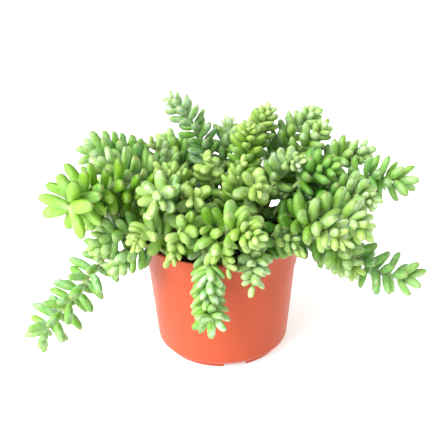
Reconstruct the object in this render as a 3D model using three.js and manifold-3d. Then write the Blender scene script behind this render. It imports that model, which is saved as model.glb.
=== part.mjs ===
// Potted burro's tail: a moulded plastic nursery pot, the plug of potting soil in it, and the
// leafy shoots that grow out of the soil, rise over the rim and droop.
// Millimetres, +Z up, origin at the centre of the pot's foot, front of the plant towards -Y.

import * as THREE from "three";
import { mergeVertices } from "three/addons/utils/BufferGeometryUtils.js";
import Module from "manifold-3d";

// ---------------------------------------------------------------- driving dimensions

const CLEARANCE = 0.3; // gap that touching pieces keep

// Pot
const POT_HEIGHT = 100;
const RIM_RADIUS = 65;
const LIP_PROUD = 0.7; // how far the rolled lip stands out of the rim band
const LIP_HEIGHT = 2.6;
const WALL = 1.3;
const BAND_HEIGHT = 24; // the stepped band below the lip
const BAND_STEP = 1.1;
const BAND_FOOT_RADIUS = 62.4;
const WALL_FOOT_RADIUS = 55.5; // where the straight side meets the rounded heel
const HEEL_ROUND = 5;
const HEEL_STEPS = 4;
const FOOT_RADIUS = 49.5; // outside of the ring that the pot stands on
const FOOT_WIDTH = 2.4;
const FOOT_HEIGHT = 4.5; // underside of the raised floor
const POT_SIDES = 40;
const NOTCH = { count: 3, width: 18.5, depth: 8, bearing: -79 };
const DRAIN = { count: 6, radius: 4, depth: 6, circle: 30, sides: 10 };

// Soil
const SOIL_DROP = 10; // soil surface below the rim
const SOIL_TOP = POT_HEIGHT - SOIL_DROP;
const SOIL_GAP = 0.5; // between the side of the soil and the wall
const SOIL_CHAMFER = 1; // at the foot of the soil, clear of the heel's round

// Shoots
const STEM_RADIUS = 2;
const STEM_SIDES = 5;
const STEM_STEP = 10; // length of one straight piece of stem
const ROOTED_DEPTH = 4; // stem modelled this far below the soil before it is trimmed flush
const LEAF_PLUMPNESS = 0.215; // half width over length
const LEAF_FLATNESS = 0.84; // thickness over width
const LEAF_SIDES = 5;
const LEAF_OUTLINE = [[0, 0], [0.7, 0.28], [1, 0.64], [0, 1]]; // half width and place along it, as shares
const LEAF_CORE = [0.2, 0.8]; // the stretch of a leaf that is kept clear of other leaves and stems
const LEAF_SPACING = 10; // along the stem
const TIP_SEAT = 2; // how far inside the stem's end its last leaf is rooted
const FIRST_LEAF = 14; // bare stem above the soil
const TIP_ZONE = 26; // young, shorter leaves over this end of a shoot
const YOUNG_LEAF = 0.6; // length of the last leaf, as a share of a full one
const OWN_CROWDING = 0.6; // how close leaves of one shoot may stand, as a share of touching
const OPEN_ANGLE = 68; // between a grown leaf and its stem, in degrees
const TIP_ANGLE = 22;
const GOLDEN_ANGLE = THREE.MathUtils.degToRad(137.508);
const FRAME_STEPS = 120; // places along a shoot where its direction is worked out
const STEM_SAMPLE = 6; // length of the straight pieces that stand for a stem when leaves are placed
const FIRST_TURN = 3.5; // direction of a shoot's first leaf round its stem, in radians

// Each shoot: name, length of a grown leaf, and its route from the soil to its tip as x, y, z.
const SHOOTS = [
  ["left_reach", 25.5, [
    [-30, -15, 90], [-55, -22, 136], [-83, -34, 150], [-99, -49, 151],
    [-107, -68, 149],
  ]],
  ["left_mid", 22.5, [[-28, -4, 90], [-46, -6, 135], [-68, -9, 153], [-90, -15, 157]]],
  ["left_trail", 21, [
    [-45, -22, 90], [-55, -27, 107], [-74, -34, 112], [-96, -40, 89],
    [-117, -41, 63], [-135, -41, 41], [-146, -40, 27],
  ]],
  ["left_low", 19.5, [[-38, -33, 90], [-60, -44, 117], [-78, -51, 121], [-91, -55, 111]]],
  ["left_upper", 21, [[-30, 10, 90], [-50, 14, 138], [-82, 18, 160], [-106, 20, 160]]],
  ["left_crest", 17, [[-20, 18, 90], [-36, 24, 135], [-50, 28, 158], [-56, 26, 168]]],
  ["back_riser", 17.5, [[-8, 25, 90], [-8, 36, 140], [-21, 42, 176], [-40, 44, 199]]],
  ["crown", 15.5, [[-5, 5, 90], [-5, 8, 125], [-8, 0, 152], [-10, -12, 166]]],
  ["knob_left", 16, [[-12, -12, 90], [-16, -20, 122], [-20, -42, 146], [-22, -58, 150]]],
  ["knob_right", 18, [[14, -8, 90], [20, -15, 131], [25, -34, 151], [30, -50, 151]]],
  ["top_centre", 18.5, [[12, 12, 90], [18, 16, 130], [22, 19, 164], [24, 12, 186]]],
  ["top_mid", 19, [[12, 28, 90], [20, 34, 140], [32, 38, 172], [40, 36, 189]]],
  ["top_right", 18.5, [[22, 30, 90], [38, 38, 135], [63, 45, 168], [78, 46, 184]]],
  ["right_crest", 18.5, [[32, 22, 90], [50, 28, 135], [71, 32, 162], [84, 30, 175]]],
  ["right_knob", 18.5, [[25, 5, 90], [40, 4, 133], [54, -2, 156], [60, -16, 163]]],
  ["right_mid", 21.5, [[30, -2, 90], [52, -4, 130], [72, -8, 152], [86, -14, 157]]],
  ["right_riser", 20, [[38, 18, 90], [62, 22, 130], [94, 25, 150], [118, 25, 156]]],
  ["right_far", 20.5, [[42, 5, 90], [75, 8, 122], [114, 9, 140], [144, 2, 140]]],
  ["right_low", 19, [[36, -9, 90], [64, -18, 127], [96, -30, 142], [113, -45, 140]]],
  ["right_front", 22, [[32, -28, 90], [53, -42, 122], [80, -58, 138], [100, -74, 132]]],
  ["right_fore", 20.5, [[26, -35, 90], [43, -50, 121], [62, -64, 134], [85, -80, 127]]],
  ["right_trail", 19.5, [
    [45, -15, 90], [55, -18, 107], [80, -26, 111], [106, -34, 89],
    [126, -38, 78], [145, -42, 75],
  ]],
  ["right_skirt", 20.5, [[40, -26, 90], [56, -34, 112], [80, -46, 108], [100, -54, 89]]],
  ["front_bow", 20.5, [[12, -32, 90], [5, -50, 115], [7, -72, 134], [23, -94, 136]]],
  ["front_bud", 16.5, [[24, -42, 90], [24, -58, 104], [23, -73, 104], [22, -80, 91]]],
  ["front_hang", 15.5, [
    [-14, -40, 90], [-14, -58, 110], [-9, -76, 108], [-10, -82, 95],
    [-10, -84, 83], [-9, -88, 76], [-8, -97, 74],
  ]],
  ["front_row", 17.5, [[-2, -38, 90], [-6, -50, 122], [-8, -68, 132], [5, -83, 107]]],
  ["left_front", 19, [[-28, -32, 90], [-42, -48, 116], [-54, -62, 126], [-62, -76, 124]]],
  ["left_curl", 22, [[-28, -22, 90], [-36, -34, 126], [-43, -50, 149], [-47, -63, 152]]],
  ["left_row", 17.5, [[-22, -34, 90], [-24, -50, 122], [-29, -66, 131], [-37, -80, 113]]],
  ["left_skirt", 18.5, [[-36, -40, 90], [-50, -47, 109], [-66, -53, 108], [-80, -56, 96]]],
  ["mid_left", 19.5, [[-20, -5, 90], [-28, -8, 125], [-38, -12, 148], [-46, -20, 157]]],
  ["mid_centre", 16.5, [[4, -18, 90], [8, -20, 125], [13, -18, 148], [17, -16, 162]]],
  ["right_drop", 15.5, [[30, -38, 90], [40, -50, 110], [49, -60, 118], [57, -66, 112]]],
  ["back_west", 19.5, [[-30, 30, 90], [-50, 46, 130], [-72, 64, 138], [-88, 78, 121]]],
  ["back_north_west", 19.5, [[-15, 38, 90], [-22, 58, 130], [-31, 82, 138], [-38, 97, 120]]],
  ["back_hang", 18, [[8, 42, 90], [10, 58, 112], [12, 80, 109], [14, 91, 76]]],
  ["back_north_east", 19.5, [[28, 36, 90], [42, 54, 130], [57, 76, 138], [68, 91, 122]]],
  ["back_east", 19.5, [[42, 28, 90], [51, 34, 107], [72, 45, 120], [98, 58, 116], [115, 66, 96]]],
  ["back_trail", 21, [[-42, 18, 90], [-72, 32, 116], [-98, 44, 110], [-112, 50, 88]]],
  ["back_top", 17.5, [[0, 28, 90], [4, 43, 140], [6, 57, 163], [8, 70, 171]]],
  ["back_dome", 18, [[-18, 32, 90], [-30, 50, 138], [-44, 64, 154], [-54, 76, 152]]],
];

// ---------------------------------------------------------------- materials

const POT_PLASTIC = new THREE.MeshStandardMaterial({ color: 0xe8603c, roughness: 0.38, metalness: 0 });
const PEAT = new THREE.MeshStandardMaterial({ color: 0x2e2119, roughness: 0.95, metalness: 0 });
const LEAF_GREEN = new THREE.MeshStandardMaterial({ color: 0x8fc552, roughness: 0.5, metalness: 0 });

// ---------------------------------------------------------------- solids

const MERGE_WITHIN = 1e-4;

const wasm = await Module();
wasm.setup();
const { Manifold, Mesh } = wasm;

// A closed three.js geometry as a manifold-3d solid.
function solid(geometry, matrix) {
  const bare = geometry.clone();
  bare.deleteAttribute("normal");
  bare.deleteAttribute("uv");
  if (matrix) bare.applyMatrix4(matrix);
  const merged = mergeVertices(bare, MERGE_WITHIN);
  return new Manifold(
    new Mesh({
      numProp: 3,
      vertProperties: merged.attributes.position.array,
      triVerts: new Uint32Array(merged.index.array),
    }),
  );
}

// A manifold-3d solid as a named three.js mesh.
function meshOf(name, made, material) {
  const { vertProperties, triVerts } = made.getMesh();
  const geometry = new THREE.BufferGeometry();
  geometry.setAttribute("position", new THREE.BufferAttribute(vertProperties, 3));
  geometry.setIndex(new THREE.BufferAttribute(triVerts, 1));
  geometry.computeVertexNormals();
  const mesh = new THREE.Mesh(geometry, material);
  mesh.name = name;
  return mesh;
}

const UPRIGHT = new THREE.Matrix4().makeRotationX(Math.PI / 2); // a lathe's axis from +Y to +Z

// A solid of revolution about +Z from a closed outline of [radius, height] pairs.
function turned(outline, sides) {
  const profile = outline.map(([r, z]) => new THREE.Vector2(r, z));
  return solid(new THREE.LatheGeometry(profile, sides), UPRIGHT);
}

function box(width, depth, height, x, y, z, turn) {
  const place = new THREE.Matrix4().makeRotationZ(turn);
  place.multiply(new THREE.Matrix4().makeTranslation(x, y, z));
  return solid(new THREE.BoxGeometry(width, depth, height), place);
}

// ---------------------------------------------------------------- pot and soil

const HEEL_TOP = FOOT_HEIGHT + HEEL_ROUND;
const BAND_FOOT = POT_HEIGHT - BAND_HEIGHT;
const LIP_FOOT = POT_HEIGHT - LIP_HEIGHT;

// Radius of the pot's outside where it rises straight from the heel to the band.
function wallRadius(z) {
  const t = (z - HEEL_TOP) / (BAND_FOOT - HEEL_TOP);
  return THREE.MathUtils.lerp(WALL_FOOT_RADIUS, BAND_FOOT_RADIUS - BAND_STEP, t);
}

// Radius of the pot's inside where it rises straight from the band's foot to the rim.
function bandInside(z) {
  const t = (z - BAND_FOOT - BAND_STEP) / (POT_HEIGHT - BAND_FOOT - BAND_STEP);
  return THREE.MathUtils.lerp(BAND_FOOT_RADIUS, RIM_RADIUS - LIP_PROUD, t) - WALL;
}

// The quarter round of the heel, from the floor's underside up to where the wall starts.
function heel(inset) {
  const radius = HEEL_ROUND - inset;
  const points = [];
  for (let i = 0; i <= HEEL_STEPS; i++) {
    const angle = (Math.PI / 2) * (1 - i / HEEL_STEPS);
    points.push([
      WALL_FOOT_RADIUS - HEEL_ROUND + radius * Math.cos(angle),
      HEEL_TOP - radius * Math.sin(angle),
    ]);
  }
  return points;
}

function potOutline() {
  const lip = RIM_RADIUS - LIP_PROUD;
  const footInside = FOOT_RADIUS - FOOT_WIDTH;
  return [
    [footInside, 0],
    [FOOT_RADIUS, 0],
    [FOOT_RADIUS, FOOT_HEIGHT],
    ...heel(0),
    [wallRadius(BAND_FOOT), BAND_FOOT],
    [BAND_FOOT_RADIUS, BAND_FOOT + BAND_STEP],
    [lip, LIP_FOOT],
    [RIM_RADIUS, LIP_FOOT + LIP_PROUD],
    [RIM_RADIUS, POT_HEIGHT - LIP_PROUD],
    [lip, POT_HEIGHT],
    [bandInside(POT_HEIGHT), POT_HEIGHT],
    [bandInside(BAND_FOOT + BAND_STEP), BAND_FOOT + BAND_STEP],
    [wallRadius(BAND_FOOT) - WALL, BAND_FOOT],
    ...heel(WALL).reverse(),
    [0, FOOT_HEIGHT + WALL],
    [0, FOOT_HEIGHT],
    [footInside, FOOT_HEIGHT],
    [footInside, 0],
  ];
}

function makePot() {
  let pot = turned(potOutline(), POT_SIDES);
  for (let i = 0; i < NOTCH.count; i++) {
    const turn = THREE.MathUtils.degToRad(NOTCH.bearing + (360 / NOTCH.count) * i);
    const cut = box(NOTCH.depth, NOTCH.width, 2 * FOOT_HEIGHT, FOOT_RADIUS - FOOT_WIDTH / 2, 0, 0, turn);
    pot = pot.subtract(cut);
  }
  for (let i = 0; i < DRAIN.count; i++) {
    const angle = (2 * Math.PI * i) / DRAIN.count;
    const hole = new THREE.CylinderGeometry(DRAIN.radius, DRAIN.radius, DRAIN.depth, DRAIN.sides);
    const place = new THREE.Matrix4().makeTranslation(
      DRAIN.circle * Math.cos(angle),
      DRAIN.circle * Math.sin(angle),
      FOOT_HEIGHT,
    );
    pot = pot.subtract(solid(hole, place.multiply(UPRIGHT)));
  }
  return meshOf("pot", pot, POT_PLASTIC);
}

function makeSoil() {
  const floor = FOOT_HEIGHT + WALL + CLEARANCE;
  const sideFoot = HEEL_TOP + SOIL_CHAMFER;
  const outline = [
    [0, floor],
    [WALL_FOOT_RADIUS - HEEL_ROUND - SOIL_CHAMFER, floor],
    [wallRadius(sideFoot) - WALL - SOIL_GAP, sideFoot],
    [wallRadius(BAND_FOOT) - WALL - SOIL_GAP, BAND_FOOT],
    [bandInside(SOIL_TOP) - SOIL_GAP, SOIL_TOP],
    [0, SOIL_TOP],
  ];
  return meshOf("potting_soil", turned(outline, POT_SIDES), PEAT);
}

// ---------------------------------------------------------------- shoots

// Smallest distance between the segments a0-a1 and b0-b1.
function segmentGap(a0, a1, b0, b1) {
  const u = a1.clone().sub(a0);
  const v = b1.clone().sub(b0);
  const w = a0.clone().sub(b0);
  const uu = u.dot(u);
  const uv = u.dot(v);
  const vv = v.dot(v);
  const uw = u.dot(w);
  const vw = v.dot(w);
  const clamp = (x) => Math.min(1, Math.max(0, x));
  const det = uu * vv - uv * uv;
  let s = det > 1e-9 ? clamp((uv * vw - vv * uw) / det) : 0;
  const t = clamp((uv * s + vw) / vv);
  s = clamp((uv * t - uw) / uu);
  return a0.clone().addScaledVector(u, s).distanceTo(b0.clone().addScaledVector(v, t));
}

// True if a ball of that radius at p clears the pot's wall and the soil.
function clearsPot(p, radius) {
  const r = Math.hypot(p.x, p.y);
  const z = Math.min(p.z, POT_HEIGHT);
  const wall = THREE.MathUtils.lerp(WALL_FOOT_RADIUS, RIM_RADIUS, z / POT_HEIGHT);
  const fromWall = Math.hypot(r - wall, p.z - z);
  const fromSoil = r < wall ? p.z - SOIL_TOP : Infinity;
  return fromWall > radius + WALL + 2 * CLEARANCE && fromSoil > radius + CLEARANCE;
}

// Every place on a shoot that may carry a leaf, from the soil to the tip.
function leafPlaces(shoot, index) {
  const [, grownLeaf, route] = shoot;
  const curve = new THREE.CatmullRomCurve3(route.map((p) => new THREE.Vector3(...p)), false, "centripetal");
  const length = curve.getLength();
  const leafy = length - FIRST_LEAF - TIP_SEAT;
  const count = Math.floor(leafy / LEAF_SPACING);
  const frames = curve.computeFrenetFrames(FRAME_STEPS, false);
  const places = [];
  for (let k = 0; k <= count; k++) {
    const along = length - TIP_SEAT - (count - k) * LEAF_SPACING;
    const fromTip = length - along;
    const at = Math.min(FRAME_STEPS, Math.round((along / length) * FRAME_STEPS));
    const young = 1 - Math.min(1, fromTip / TIP_ZONE);
    const open = THREE.MathUtils.degToRad(THREE.MathUtils.lerp(OPEN_ANGLE, TIP_ANGLE, young * young));
    const turn = FIRST_TURN + k * GOLDEN_ANGLE + index;
    const outward = frames.normals[at].clone().multiplyScalar(Math.cos(turn));
    outward.addScaledVector(frames.binormals[at], Math.sin(turn));
    const axis = frames.tangents[at].clone().multiplyScalar(Math.cos(open));
    axis.addScaledVector(outward, Math.sin(open)).normalize();
    const root = curve.getPointAt(along / length);
    const leafLength = grownLeaf * THREE.MathUtils.lerp(1, YOUNG_LEAF, young);
    const radius = leafLength * LEAF_PLUMPNESS;
    places.push({
      index,
      fromTip,
      root,
      axis,
      tangent: frames.tangents[at],
      leafLength,
      radius,
      from: root.clone().addScaledVector(axis, leafLength * LEAF_CORE[0]),
      to: root.clone().addScaledVector(axis, leafLength * LEAF_CORE[1]),
    });
  }
  return { curve, length, places };
}

// Keeps the leaves that clear the pot, the other shoots' stems and their kept leaves. Leaves near
// the tips are placed first, because crowding costs a shoot its oldest leaves.
function keptLeaves(grown) {
  const stems = grown.map(({ curve, length }) => curve.getSpacedPoints(Math.ceil(length / STEM_SAMPLE)));
  const kept = [];
  const candidates = grown.flatMap(({ places }) => places);
  candidates.sort((a, b) => a.fromTip - b.fromTip);
  for (const leaf of candidates) {
    const spine = [0, 0.5, 1].map((t) => leaf.from.clone().lerp(leaf.to, t));
    if (!spine.every((p) => clearsPot(p, leaf.radius))) continue;
    const hitsStem = stems.some(
      (points, i) =>
        i !== leaf.index &&
        points.slice(1).some(
          (p, j) => segmentGap(leaf.from, leaf.to, points[j], p) < leaf.radius + STEM_RADIUS + CLEARANCE,
        ),
    );
    if (hitsStem) continue;
    const hitsLeaf = kept.some((other) => {
      const own = other.index === leaf.index;
      const need = own ? OWN_CROWDING * (leaf.radius + other.radius) : leaf.radius + other.radius + CLEARANCE;
      return segmentGap(leaf.from, leaf.to, other.from, other.to) < need;
    });
    if (!hitsLeaf) kept.push(leaf);
  }
  return kept;
}

const LEAF_SHAPE = new THREE.LatheGeometry(
  LEAF_OUTLINE.map(([r, h]) => new THREE.Vector2(r * LEAF_PLUMPNESS, h)),
  LEAF_SIDES,
);

// One leaf: its length along its axis, its flatter face towards the stem's tip.
function makeLeaf({ root, axis, tangent, leafLength }) {
  const side = new THREE.Vector3().crossVectors(axis, tangent).normalize();
  const face = new THREE.Vector3().crossVectors(side, axis);
  const place = new THREE.Matrix4().makeBasis(side, axis, face);
  place.setPosition(root);
  place.scale(new THREE.Vector3(leafLength, leafLength, leafLength * LEAF_FLATNESS));
  return solid(LEAF_SHAPE, place);
}

function makeStem(curve, length) {
  const section = new THREE.Shape();
  for (let i = 0; i < STEM_SIDES; i++) {
    const angle = (2 * Math.PI * i) / STEM_SIDES;
    const point = [STEM_RADIUS * Math.cos(angle), STEM_RADIUS * Math.sin(angle)];
    if (i === 0) section.moveTo(...point);
    else section.lineTo(...point);
  }
  const start = curve.getPointAt(0).addScaledVector(curve.getTangentAt(0), -ROOTED_DEPTH);
  const path = new THREE.CatmullRomCurve3([start, ...curve.getSpacedPoints(Math.ceil(length / STEM_STEP))]);
  const steps = Math.ceil((length + ROOTED_DEPTH) / STEM_STEP);
  return solid(new THREE.ExtrudeGeometry(section, { steps, extrudePath: path, curveSegments: 1 }));
}

// The disc of space just above the soil line, which trims every stem flush with the soil.
function soilLine() {
  const low = SOIL_TOP - 2 * ROOTED_DEPTH;
  const high = SOIL_TOP + CLEARANCE;
  const reach = BAND_FOOT_RADIUS;
  const outline = [
    [0, low],
    [reach, low],
    [reach, high],
    [0, high],
  ];
  return turned(outline, POT_SIDES);
}

const grown = SHOOTS.map(leafPlaces);
const leaves = keptLeaves(grown);
const belowSoil = soilLine();

const plant = new THREE.Group();
plant.add(makePot(), makeSoil());
SHOOTS.forEach(([name], index) => {
  const { curve, length } = grown[index];
  const own = leaves.filter((leaf) => leaf.index === index).map(makeLeaf);
  const whole = Manifold.union([makeStem(curve, length), ...own]);
  const trimmed = whole.subtract(belowSoil);
  plant.add(meshOf(`shoot_${name}`, trimmed, LEAF_GREEN));
});

export default plant;
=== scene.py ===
"""Looks of a potted burro's tail: a satin nursery pot, peat soil and forty-two leafy shoots.

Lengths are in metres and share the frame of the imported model: +Z up, the pot's foot centred on the
origin, the front of the plant towards -Y.
"""

import math
from dataclasses import dataclass

import bmesh
import bpy
import numpy as np
from bpy.props import FloatProperty, FloatVectorProperty, IntProperty, PointerProperty
from mathutils import Matrix, Vector, kdtree, noise


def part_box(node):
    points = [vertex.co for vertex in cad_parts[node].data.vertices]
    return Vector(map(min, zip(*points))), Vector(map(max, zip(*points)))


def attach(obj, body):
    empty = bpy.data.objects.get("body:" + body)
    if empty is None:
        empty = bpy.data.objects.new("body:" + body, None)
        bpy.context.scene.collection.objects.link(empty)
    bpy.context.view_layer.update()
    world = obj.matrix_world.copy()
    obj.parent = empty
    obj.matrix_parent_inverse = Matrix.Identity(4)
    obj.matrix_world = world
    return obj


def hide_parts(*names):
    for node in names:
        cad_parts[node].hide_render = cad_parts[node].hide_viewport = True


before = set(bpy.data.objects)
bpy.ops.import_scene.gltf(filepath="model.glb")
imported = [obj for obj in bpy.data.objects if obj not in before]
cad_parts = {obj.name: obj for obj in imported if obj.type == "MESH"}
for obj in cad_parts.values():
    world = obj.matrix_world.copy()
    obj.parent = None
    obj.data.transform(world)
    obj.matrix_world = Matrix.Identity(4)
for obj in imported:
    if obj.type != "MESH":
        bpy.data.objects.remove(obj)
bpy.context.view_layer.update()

bl_info = {
    "name": "Potted burro's tail",
    "version": (1, 0, 0),
    "blender": (4, 5, 0),
    "location": "View3D > Sidebar > Burro's tail",
    "description": "Makes a burro's tail plant in its nursery pot",
    "category": "Object",
}

TURN = 2 * math.pi
GOLDEN_ANGLE = math.radians(137.508)
TINY = 1e-9  # stands in for a length of zero where something is divided by it

POT_LOW, POT_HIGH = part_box("pot")
SOIL_LOW, SOIL_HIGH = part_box("potting_soil")

# ------------------------------------------------------------------ the shoots


@dataclass
class Shoot:
    """One leafy stem: its route from the soil to its tip, and how its leaves grow."""

    route: list
    leaf: float = 0.0195  # length of a grown leaf
    plump: float = 1.0  # how much rounder its leaves are than others
    crowd: float = 0.11  # distance between leaves, as a share of their length
    spread: float = 72  # degrees between a grown leaf and the stem
    tip_spread: float = 14  # degrees between the youngest leaf and the stem
    bud: float = 0.024  # stretch of young leaves at the tip
    newest: float = 0.5  # length of the youngest leaf, as a share of a grown one
    lift: float = 0.12  # how far its leaves turn up to the light
    blue: float = 0.5  # 0 is yellow-green, 1 is blue-green
    pale: float = 0.22  # how much of the pale bloom it carries
    tender: float = 1.0  # how young the leaves near its tip look
    shade: float = 0  # how much painted shade darkens the leaves far from its tip


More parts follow.
